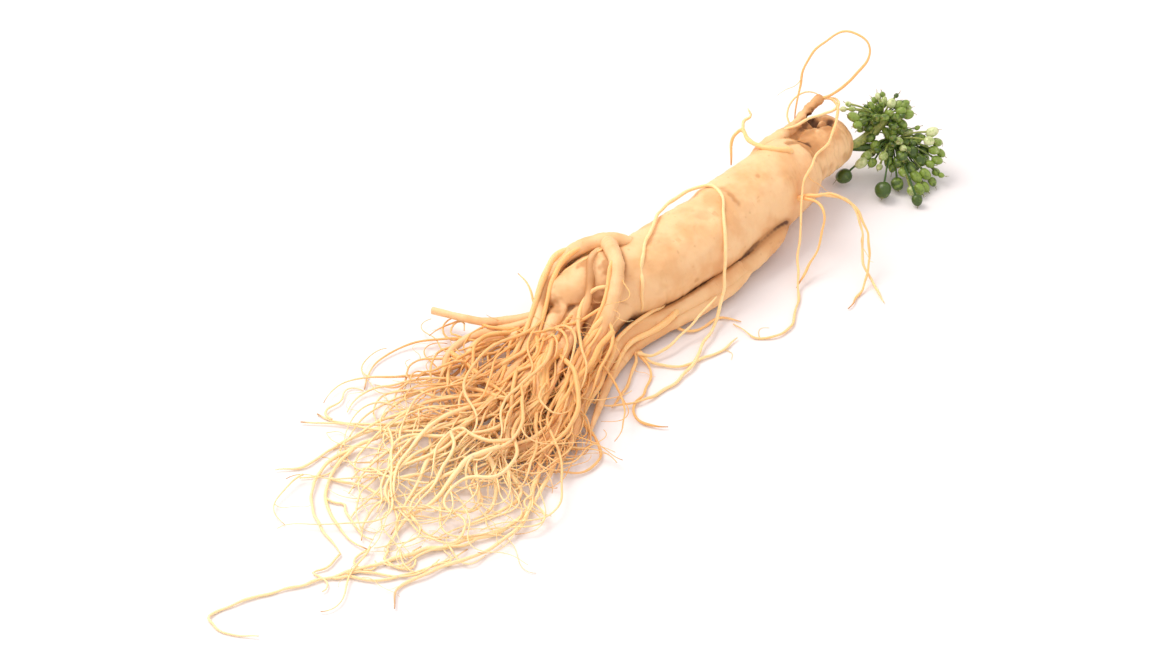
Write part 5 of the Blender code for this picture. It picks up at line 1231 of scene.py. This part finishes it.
@dataclass
class Sprouts:
    """Side roots that leave other roots at a slant and curl by a steady change of heading and a wave."""

    name: str
    count: int
    length: tuple[float, float]
    radius: tuple[float, float]
    seed: int
    stations: int = 14
    sides: int = 4
    bend: float = 1.3
    bend_share: tuple[float, float] = (0.4, 2.0)
    wave: tuple[float, float] = (0.2, 0.7)
    rate: tuple[float, float] = (5.0, 11.0)
    lean: tuple[float, float] = (0.5, 1.4)
    taper: float = 0.65
    rise: float = 0.25
    settle: float = 0.25
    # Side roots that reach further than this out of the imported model's box are left out.
    overhang: float = 7.0

    def feet(self, roots: list[Array], draw: Draw) -> tuple[Array, Array]:
        """Picks where the side roots leave: long roots bear more of them.

        Args:
            roots: Stations of each root that can bear them.
            draw: Source of the random draws.

        Returns:
            Their first places, and the heading of the root there.
        """
        rows = []
        for root in roots:
            rows.append(np.column_stack([root[1:], np.diff(root[:, :3], axis=0)])[len(root) // 5 :])
        rows = np.concatenate(rows)
        picked = rows[draw.integers(0, len(rows), self.count)]
        return picked[:, :3], picked[:, 4:]

    def paths(self, feet: Array, courses: Array, draw: Draw) -> Array:
        """Draws the side roots: heading = start + bend * u + wave * sin(rate * u + phase).

        Args:
            feet: Where each starts.
            courses: The heading of its parent there.
            draw: Source of the random draws.

        Returns:
            Stations by side root and station.
        """
        count = len(feet)
        length = draw.uniform(*self.length, count)[:, None]
        heading = np.arctan2(courses[:, 1], courses[:, 0])
        heading = heading + draw.choice((-1, 1), count) * draw.uniform(*self.lean, count)
        bend = (draw.choice((-1, 1), count) * draw.uniform(*self.bend_share, count) * self.bend)[:, None]
        wave = draw.uniform(*self.wave, count)[:, None]
        rate = draw.uniform(*self.rate, count)[:, None]
        u = np.linspace(0, 1, self.stations)
        angle = heading[:, None] + bend * u + wave * np.sin(rate * u + 7 * heading[:, None])
        flat = np.stack([np.cumsum(np.cos(angle), axis=1), np.cumsum(np.sin(angle), axis=1)], axis=2)
        flat *= length[..., None] / (self.stations - 1)
        bow = draw.normal(0, self.rise, count)[:, None] * length
        height = feet[:, 2:3] * (1 - self.settle * u) + bow * u * (1 - u)
        places = np.concatenate([feet[:, None, :2] + flat - flat[:, :1], height[..., None]], axis=2)
        radius = draw.uniform(*self.radius, count)[:, None] * (1 - self.taper * u)
        return kept_up(np.concatenate([places, radius[..., None]], axis=2))

    def build(self, finish: Material, roots: list[Array]) -> list[Array]:
        """Builds the side roots as one piece.

        Args:
            finish: Their skin.
            roots: Stations of each root that bears them.

        Returns:
            Their stations.
        """
        draw = np.random.default_rng(SEED + self.seed)
        stations = self.paths(*self.feet(roots, draw), draw)
        low, high = np.array(CAD_BOX) / MM + np.array([[-self.overhang], [self.overhang]])
        inside = (stations[..., :3] > low) & (stations[..., :3] < high)
        stations = stations[inside.all(axis=(1, 2))]
        tip = np.linspace(0.2, 1, self.stations)
        tone = draw.uniform(0, 1, (len(stations), 1))
        marks = {"along": tip * 20, "stain_and_shade": 0.0, "tone": tone, "tip": tip}
        add_piece(tubes(stations, self.sides, marks=marks).mesh(self.name), finish, Part.ROOT)
        return list(stations)


# The fruiting stalk


@dataclass
class FruitingStalk:
    """The green fruiting stalk: two flared branches, each with an umbel of pedicels and berries."""

    branch_sides: int = 24
    branch_stations: int = 40
    # How pale each branch is.
    branch_tones: dict[str, float] = field(default_factory=lambda: {"upper": 0.75, "lower": 0.25})
    pedicel_sides: int = 5
    pedicel_stations: int = 12
    pedicel_radius: float = 0.34
    pedicel_bow: float = 1.4
    pedicel_sunk: float = 1.3
    pedicel_lean: float = 0.4
    berry_sides: int = 14
    berry_stations: int = 12
    berry_clear: float = 0.7
    # How much longer than wide a full berry is, how much more a young one can be, and how askew one hangs.
    berry_length: float = 1.12
    young_length: float = 0.3
    askew: float = 0.22
    # Small unripe buds hang among the berries, on thinner pedicels.
    buds: int = 34
    bud_radius: tuple[float, float] = (0.8, 1.7)
    bud_reach: tuple[float, float] = (2.4, 9.0)
    bud_tone: tuple[float, float] = (0.05, 0.5)
    bud_pedicel: float = 0.7
    # The dry styles on each berry's tip: their foot lies a little inside it.
    styles: int = 2
    style_sides: int = 4
    style_stations: int = 5
    style_length: float = 0.9
    style_spread: float = 0.45
    style_radius: tuple[float, float] = (0.14, 0.07)
    style_foot: float = 0.96

    def clear_of_body(self, point: Array, margin: float) -> bool:
        """Says whether a point keeps the margin to the body and the table."""
        rows = smooth_route(BODY_ROUTE, 400)
        gap = np.linalg.norm(rows[:, :3] - point, axis=1) - rows[:, 3]
        return bool(gap.min() > margin and point[2] > margin)

    def bud_places(self, name: str) -> Array:
        """Places the small buds of an umbel in seeded directions: rows of x, y, z and radius."""
        draw = np.random.default_rng(SEED + 40 + len(name))
        heart = np.array(STALKS[name][-1][:3])
        mean = np.mean([row[:3] for row in BERRIES[name]], axis=0) - heart
        places = []
        while len(places) < self.buds:
            aim = draw.normal(size=3) + 0.5 * unit(mean)
            centre = heart + unit(aim) * draw.uniform(*self.bud_reach)
            radius = draw.uniform(*self.bud_radius)
            if self.clear_of_body(centre, radius + self.berry_clear):
                places.append((*centre, radius))
        return np.array(places)

    def pedicel(self, name: str, centre: Array) -> Array:
        """Draws a pedicel from inside the flared end of its branch to its berry, bowed a little upwards."""
        before, heart = (np.array(row[:3]) for row in STALKS[name][-2:])
        foot = heart + self.pedicel_sunk * unit(before - heart) + self.pedicel_lean * unit(centre - heart)
        t = np.linspace(0, 1, self.pedicel_stations)[:, None]
        path = foot + (centre - foot) * t + np.array((0.0, 0.0, self.pedicel_bow)) * np.sin(math.pi * t)
        radius = self.pedicel_radius * (1 + 0.5 * (1 - t) ** 4 + 0.45 * t**6)
        return np.column_stack([path, radius])

    def bodies(self, rows: Array, aims: Array, lengths: Array) -> Array:
        """Draws berries as stations on their axes: radius * sin(lean) ** 0.85, plumper towards the foot.

        Args:
            rows: The x, y, z and radius of each.
            aims: The direction in which each hangs.
            lengths: How much longer than wide each is.

        Returns:
            Stations by berry and station.
        """
        lean = np.linspace(0.06, 0.97, self.berry_stations) * math.pi
        along = np.cos(lean) * (rows[:, 3] * lengths)[:, None]
        places = rows[:, None, :3] - along[..., None] * aims[:, None]
        swell = rows[:, 3:] * np.sin(lean) ** 0.85 * (1 + 0.1 * np.cos(lean))
        return np.concatenate([places, swell[..., None]], axis=2)

    def style_paths(self, tips: Array, aims: Array, draw: Draw) -> Array:
        """Draws the styles: each leaves its berry's tip along its axis and turns away.

        Args:
            tips: Where they start, by berry.
            aims: The direction in which each berry hangs.
            draw: Source of the random draws.

        Returns:
            Stations by style and station.
        """
        turn = draw.normal(0, self.style_spread, (len(tips), self.styles, 3))[:, :, None]
        t = np.linspace(0, 1, self.style_stations)[:, None]
        places = tips[:, None, None] + (aims[:, None, None] + turn * t) * t * self.style_length
        foot, tip = self.style_radius
        radius = np.broadcast_to(foot + (tip - foot) * t, (*places.shape[:-1], 1))
        return kept_up(np.concatenate([places, radius], axis=3).reshape(-1, self.style_stations, 4))

    def branches(self, finish: Material) -> None:
        """Builds the two branches: flattened tubes with low ribs, flared where the pedicels leave."""
        angle = turns(self.branch_sides)
        share = np.linspace(0, 1, self.branch_stations)[:, None]
        relief = 1 + 0.16 * np.cos(2 * angle) + (0.05 + 0.05 * share) * np.cos(7 * angle + 2 * share)
        shells = []
        for name, route in STALKS.items():
            stations = smooth_route(route, self.branch_stations)
            marks = {"tone": self.branch_tones[name], "tip": share[:, 0], "along": share[:, 0] * 14}
            shells.append(tubes(stations[None], self.branch_sides, relief[None], marks))
        add_piece(joined(shells).mesh("fruiting_branches"), finish, Part.STALK)

    def build(self, stem: Material, skin: Material) -> None:
        """Builds branches, pedicels, berries and the styles on their tips.

        Args:
            stem: Finish of the branches and pedicels.
            skin: Finish of the berries.
        """
        self.branches(stem)
        draw = np.random.default_rng(SEED + 9)
        names = [name for name in STALKS for _ in BERRIES[name]]
        names += [name for name in STALKS for _ in range(self.buds)]
        traced = np.concatenate([BERRIES[name] for name in STALKS])
        buds = np.concatenate([self.bud_places(name) for name in STALKS])
        rows = np.concatenate([traced[:, :4], buds])
        tone = np.concatenate([traced[:, 4], draw.uniform(*self.bud_tone, len(buds))])
        drawn_out = self.young_length * draw.uniform(0, 1, len(rows)) * np.minimum(1, 3 * tone)
        length = self.berry_length + drawn_out
        hearts = np.array([STALKS[name][-1][:3] for name in names])
        aims = unit(unit(rows[:, :3] - hearts) + draw.normal(0, self.askew, hearts.shape))
        pedicels = np.stack([self.pedicel(name, row[:3]) for name, row in zip(names, rows)])
        pedicels[len(traced) :, :, 3] *= self.bud_pedicel
        self.add_set("pedicels", pedicels, self.pedicel_sides, tone, stem)
        angle = turns(self.berry_sides)
        flat = 1 + 0.07 * np.cos(2 * angle) + 0.05 * np.cos(3 * angle + 6.0 * tone[:, None, None])
        self.add_set("berries", self.bodies(rows, aims, length), self.berry_sides, tone, skin, flat)
        tips = rows[:, :3] + aims * (rows[:, 3] * length * self.style_foot)[:, None]
        styles = self.style_paths(tips, aims, draw)
        tone = np.repeat(tone, self.styles)
        self.add_set("berry_styles", styles, self.style_sides, tone, skin, start=1.0)

    def add_set(
        self, name: str, stations: Array, sides: int, tone: Array, finish: Material,
        relief: Array | float = 1.0, start: float = 0.0,
    ) -> None:
        """Adds many small tubes as one piece.

        Args:
            name: The piece's name.
            stations: Stations by tube and station.
            sides: Number of vertices round a section.
            tone: One tone for each tube.
            finish: The finish.
            relief: Factors on the radius.
            start: The tip mark at the tubes' feet: it rises to 1 at their ends.
        """
        tip = np.linspace(start, 1, stations.shape[1])
        marks = {"tone": tone[:, None], "tip": tip, "along": tip * 10}
        add_piece(tubes(stations, sides, relief, marks).mesh(name), finish, Part.STALK)


# Finishes


def linear(colour: str) -> tuple[float, float, float, float]:
    """Turns an sRGB hex colour into linear red, green, blue and alpha."""
    parts = [int(colour[i : i + 2], 16) / 255 for i in (1, 3, 5)]
    red, green, blue = (p / 12.92 if p <= 0.04045 else ((p + 0.055) / 1.055) ** 2.4 for p in parts)
    return red, green, blue, 1.0


@dataclass(frozen=True)
class Surface:
    """How a skin takes light: how rough and glossy it is, and how far light passes through it."""

    roughness: float
    specular: float
    # The share of light that goes in, how far its red, green and blue spread, and the metres that 1 means.
    subsurface: float = 0.0
    radius: tuple[float, float, float] = (1.0, 1.0, 1.0)
    scale: float = 0.001


class Paint:
    """A material in the making, with the colour that each further layer is laid on."""

    def __init__(self, name: str, base: str) -> None:
        """Starts a material of one colour."""
        self.material = bpy.data.materials.new(name)
        self.material.use_nodes = True
        self.tree = self.material.node_tree
        self.shader = self.tree.nodes["Principled BSDF"]
        self.colour: Socket | tuple[float, ...] = linear(base)

    def feed(self, node: Node, place: str | int, source: object) -> None:
        """Links a node's input to a socket, or sets its value."""
        if isinstance(source, Socket):
            self.tree.links.new(source, node.inputs[place])
        else:
            node.inputs[place].default_value = source

    def add(self, kind: str, inputs: dict | None = None, **settings: object) -> Node:
        """Adds a node.

        Args:
            kind: The node's type.
            inputs: By input name or number: the output socket that feeds it, or its value.
            settings: Properties of the node.

        Returns:
            The new node.
        """
        node = self.tree.nodes.new(kind)
        for label, value in settings.items():
            setattr(node, label, value)
        for place, source in (inputs or {}).items():
            self.feed(node, place, source)
        return node

    def mark(self, name: str) -> Socket:
        """Returns the value of a mesh attribute."""
        return self.add("ShaderNodeAttribute", attribute_name=name).outputs["Fac"]

    def places(self) -> Socket:
        """Returns Object coordinates in millimetres."""
        inputs = {0: self.add("ShaderNodeTexCoord").outputs["Object"], "Scale": 1 / MM}
        return self.add("ShaderNodeVectorMath", inputs, operation="SCALE").outputs[0]

    def reckon(self, operation: str, first: Socket, second: Socket | float) -> Socket:
        """Returns what an operation on two values gives."""
        return self.add("ShaderNodeMath", {0: first, 1: second}, operation=operation).outputs[0]

    def ramp(self, source: Socket, low: float, high: float, top: float = 1.0) -> Socket:
        """Returns a value that rises smoothly from 0 to the top as the source goes from low to high."""
        inputs = {"Value": source, "From Min": low, "From Max": high, "To Min": 0.0, "To Max": top}
        return self.add("ShaderNodeMapRange", inputs, interpolation_type="SMOOTHSTEP").outputs["Result"]

    def noise(self, places: Socket, size: float, detail: float = 2.0, rough: float = 0.5) -> Socket:
        """Returns noise whose patches are about a size in millimetres, on coordinates in millimetres."""
        inputs = {"Vector": places, "Scale": 1.0 / size, "Detail": detail, "Roughness": rough}
        return self.add("ShaderNodeTexNoise", inputs).outputs["Fac"]

    def rings(self, across: float) -> Socket:
        """Returns coordinates drawn out round a root, so that noise on them makes lines across it."""
        split = self.add("ShaderNodeSeparateXYZ", {0: self.places()}).outputs
        inputs = {axis: self.reckon("MULTIPLY", split[axis], across) for axis in "YZ"}
        return self.add("ShaderNodeCombineXYZ", inputs | {"X": self.mark("along")}).outputs[0]

    def layer(self, share: Socket, colour: str) -> None:
        """Lays a colour on, by a share."""
        inputs = {0: share, 6: self.colour, 7: linear(colour)}
        self.colour = self.add("ShaderNodeMix", inputs, data_type="RGBA").outputs[2]

    def finish(self, surface: Surface) -> Material:
        """Gives the shader the colour and the surface's values, and returns the material."""
        inputs = {
            "Base Color": self.colour,
            "Roughness": surface.roughness,
            "Specular IOR Level": surface.specular,
            "Subsurface Weight": surface.subsurface,
            "Subsurface Radius": surface.radius,
            "Subsurface Scale": surface.scale,
        }
        for place, source in inputs.items():
            self.feed(self.shader, place, source)
        return self.material


@dataclass(frozen=True)
class RootSkin:
    """Fresh ginseng root, dug and washed: a thin corky skin, satin and a little translucent.

    To the eye it is pale apricot, with browner patches at the crown, fine brown lines across it where
    the root has shrunk, small specks where hair roots broke off, and soil and painted shade in its creases.
    """

    light: str = "#F3C996"
    deep: str = "#E6B17A"
    crown: str = "#B97F4A"
    line: str = "#D29A62"
    speck: str = "#C48E5C"
    soil_and_shade: str = "#5E3A20"
    patch_size: float = 13.0
    line_size: float = 0.75
    line_patch: float = 7.0
    speck_size: float = 2.6
    grain_size: float = 0.5
    bump: float = 0.45
    bump_height: float = 0.18
    surface: Surface = Surface(0.52, 0.32, 0.12, (1.0, 0.45, 0.2))

    def material(self) -> Material:
        """Builds the material."""
        paint = Paint("fresh_ginseng_root_skin", self.light)
        places = paint.places()
        patches = paint.noise(places, self.patch_size, 3.0)
        paint.layer(paint.ramp(patches, 0.38, 0.66), self.deep)
        fine = paint.noise(paint.rings(0.12), self.line_size, 3.0, 0.65)
        where = paint.ramp(paint.noise(places, self.line_patch), 0.45, 0.62)
        paint.layer(paint.reckon("MULTIPLY", paint.ramp(fine, 0.56, 0.74, 0.55), where), self.line)
        specks = paint.noise(places, self.speck_size, 1.0)
        paint.layer(paint.ramp(specks, 0.68, 0.8, 0.38), self.speck)
        stain_and_shade = paint.mark("stain_and_shade")
        # Browner crown skin, scars, and soil and painted shade in creases, by the mark: brown first, then the
        # dark soil colour.
        paint.layer(paint.ramp(stain_and_shade, 0.0, 0.55, 0.8), self.crown)
        paint.layer(paint.ramp(stain_and_shade, 0.58, 1.0), self.soil_and_shade)
        height = paint.reckon("ADD", fine, paint.noise(places, self.grain_size, 3.0, 0.6))
        bump = {"Strength": self.bump, "Distance": self.bump_height * MM, "Height": height}
        paint.feed(paint.shader, "Normal", paint.add("ShaderNodeBump", bump).outputs["Normal"])
        return paint.finish(self.surface)


@dataclass(frozen=True)
class RootletSkin:
    """Young rootlet: thinner skin than the body's, paler and more translucent, with browned tips.

    Those that lie low among the legs get painted shade, and those between two places along the legs are
    browner.
    """

    light: str = "#FFDCA4"
    deep: str = "#FDC480"
    young: str = "#FFE3B2"
    brown: str = "#B07C48"
    # Painted shade for rootlets that lie low among the legs.
    buried: str = "#CB8A50"
    band_brown: str = "#DAA35A"
    # From here towards -X, in mm, the rootlets grow paler.
    old_x: float = -95.0
    young_x: float = -152.0
    # Between these places, in mm, they are darker: those on the body aren't.
    brown_span: tuple[float, float, float, float] = (-140.0, -112.0, -84.0, -62.0)
    surface: Surface = Surface(0.5, 0.3, 0.4, (1.0, 0.6, 0.35), 0.0003)

    def material(self) -> Material:
        """Builds the material."""
        paint = Paint("young_ginseng_rootlet_skin", self.light)
        tone, tip = paint.mark("tone"), paint.mark("tip")
        paint.layer(paint.ramp(tone, 0.0, 1.0), self.deep)
        paint.layer(paint.ramp(tip, 0.75, 0.05, 0.55), self.deep)
        bands = paint.noise(paint.rings(0.3), 1.6, 3.0, 0.6)
        paint.layer(paint.ramp(bands, 0.5, 0.75, 0.4), self.deep)
        place_x = paint.add("ShaderNodeSeparateXYZ", {0: paint.places()}).outputs[0]
        paint.layer(paint.ramp(place_x, self.old_x, self.young_x, 0.8), self.young)
        start, full, fading, end = self.brown_span
        near, far = paint.ramp(place_x, start, full, 0.45), paint.ramp(place_x, end, fading)
        paint.layer(paint.reckon("MULTIPLY", near, far), self.band_brown)
        # Painted shade where rootlets lie low among the legs, by the mark; it also darkens the threads a
        # little at their feet.
        paint.layer(paint.ramp(paint.mark("stain_and_shade"), 0.0, 1.0, 0.75), self.buried)
        ends, brown = paint.ramp(tip, 0.93, 1.0, 0.8), paint.ramp(tone, 0.45, 0.7)
        paint.layer(paint.reckon("MULTIPLY", ends, brown), self.brown)
        return paint.finish(self.surface)


@dataclass(frozen=True)
class StemSkin:
    """Green stem: a waxy skin with fine lengthwise ribs, paler where it flares."""

    light: str = "#A3AB5A"
    deep: str = "#3B5A20"
    surface: Surface = Surface(0.42, 0.4, 0.08, (0.4, 1.0, 0.2))

    def material(self) -> Material:
        """Builds the material."""
        paint = Paint("ginseng_stem_skin", self.deep)
        streaks = paint.noise(paint.places(), 0.9, 3.0, 0.6)
        pale = paint.reckon("MULTIPLY", paint.mark("tone"), streaks)
        paint.layer(paint.ramp(pale, 0.05, 0.5), self.light)
        return paint.finish(self.surface)


@dataclass(frozen=True)
class BerrySkin:
    """Unripe ginseng berry: a smooth waxy skin, dark and glossy when full, pale and matt when young."""

    ripe: str = "#40581D"
    middle: str = "#849C40"
    young: str = "#D6DCA8"
    tip: str = "#8C8449"
    surface: Surface = Surface(0.3, 0.5, 0.12, (0.4, 1.0, 0.2), 0.0003)

    def material(self) -> Material:
        """Builds the material."""
        paint = Paint("unripe_ginseng_berry_skin", self.ripe)
        patches = paint.reckon("SUBTRACT", paint.noise(paint.places(), 1.3), 0.5)
        youth = paint.reckon("ADD", patches, paint.mark("tone"))
        paint.layer(paint.ramp(youth, 0.05, 0.45), self.middle)
        paint.layer(paint.ramp(youth, 0.5, 1.05), self.young)
        paint.layer(paint.ramp(paint.mark("tip"), 0.9, 1.0, 0.75), self.tip)
        return paint.finish(self.surface)


# The studio


@dataclass
class Studio:
    """A white table under a wide soft light from behind on the left, seen as in the photograph."""

    target: tuple[float, float, float] = (-65.0, 8.4, 0.0)
    look: tuple[float, float, float] = (0.569, 0.513, -0.643)
    distance: float = 901.0
    lens: float = 85.0
    sensor: float = 36.0
    table_size: float = 6000.0
    table_colour: str = "#ECE8E9"
    table_surface: Surface = Surface(0.6, 0.2)
    sky_colour: str = "#FEF8F8"
    sky_strength: float = 0.99
    key_colour: str = "#FFFAF2"
    key_power: float = 10.5
    key_size: float = 700.0
    key_distance: float = 1300.0
    fill_power: float = 0.6
    # Where the lights hang: to the right, ahead and up, as the camera sees it.
    key_way: tuple[float, float, float] = (-0.55, 0.35, 1.0)
    fill_way: tuple[float, float, float] = (0.3, -0.8, 1.2)

    def camera(self) -> None:
        """Sets the camera back from its target along the line of sight."""
        data = bpy.data.cameras.new("camera")
        data.lens = self.lens
        data.sensor_width = self.sensor
        data.clip_start = 0.01
        camera = add_object("camera", data)
        look = Vector(self.look).normalized()
        camera.location = (Vector(self.target) - look * self.distance) * MM
        camera.rotation_euler = look.to_track_quat("-Z", "Y").to_euler()
        bpy.context.scene.camera = camera

    def table(self) -> None:
        """Lays the table under the root."""
        half = self.table_size / 2 * MM
        mesh = bpy.data.meshes.new("table")
        corners = [(-half, -half, 0), (half, -half, 0), (half, half, 0), (-half, half, 0)]
        mesh.from_pydata(corners, [], [(0, 1, 2, 3)])
        mesh.materials.append(Paint("white_matt_board", self.table_colour).finish(self.table_surface))
        table = add_object("table", mesh)

    def panel(self, name: str, way: tuple[float, float, float], power: float) -> None:
        """Hangs a square light that faces the root.

        Args:
            name: The light's name.
            way: How far to the right, ahead and up it hangs from the root, as the camera sees it.
            power: Its power in watts.
        """
        ahead = Vector((self.look[0], self.look[1], 0)).normalized()
        up = Vector((0, 0, 1))
        direction = way[0] * ahead.cross(up) + way[1] * ahead + way[2] * up
        data = bpy.data.lights.new(name, "AREA")
        data.energy = power
        data.size = self.key_size * MM
        data.color = linear(self.key_colour)[:3]
        light = add_object(name, data)
        direction = direction.normalized()
        light.location = (Vector(self.target) + direction * self.key_distance) * MM
        light.rotation_euler = (-direction).to_track_quat("-Z", "Y").to_euler()

    def build(self) -> None:
        """Sets up camera, table, sky and lights."""
        self.camera()
        self.table()
        world = bpy.data.worlds.new("sky")
        world.use_nodes = True
        world.node_tree.nodes["Background"].inputs["Color"].default_value = linear(self.sky_colour)
        world.node_tree.nodes["Background"].inputs["Strength"].default_value = self.sky_strength
        bpy.context.scene.world = world
        bpy.context.scene.view_settings.view_transform = "Standard"
        self.panel("key", self.key_way, self.key_power)
        self.panel("fill", self.fill_way, self.fill_power)


def main() -> None:
    """Builds the root, its rootlets, the fruiting stalk and the studio."""
    logging.basicConfig(level=logging.INFO, format="%(message)s")
    skin = RootSkin().material()
    rootlet_skin = RootletSkin().material()
    legs = Legs()
    RootBody().build(skin, legs.touching())
    legs.build(skin)
    threads = Threads().build(rootlet_skin)
    threads += Bundle().build(rootlet_skin)
    rootlets = Fan().build(rootlet_skin, np.concatenate([legs.all_stations(), *threads]))
    branchlets = Sprouts(
        "branchlets", 120, length=(12.0, 36.0), radius=(0.22, 0.45), seed=5, stations=30, sides=6,
        bend=1.5, wave=(0.2, 0.8), lean=(0.2, 0.8), rise=0.06, settle=0.6,
    ).build(rootlet_skin, rootlets)
    hairs = Sprouts("hairs", 150, length=(4.0, 15.0), radius=(0.11, 0.2), seed=6)
    hairs.build(rootlet_skin, [*rootlets, *branchlets, *threads])
    wraps = [legs.stations(name) for name in ("wrap_band", "wrap_arc", "wrap_inner", "leg_middle")]
    Sprouts(
        "wrap_hairs", 44, length=(6.0, 24.0), radius=(0.13, 0.24), seed=8, stations=24, sides=5,
        lean=(0.3, 1.2), rise=0.5, settle=0.1,
    ).build(rootlet_skin, wraps)
    FruitingStalk().build(StemSkin().material(), BerrySkin().material())
    Studio().build()


if __name__ == "__main__":
    main()
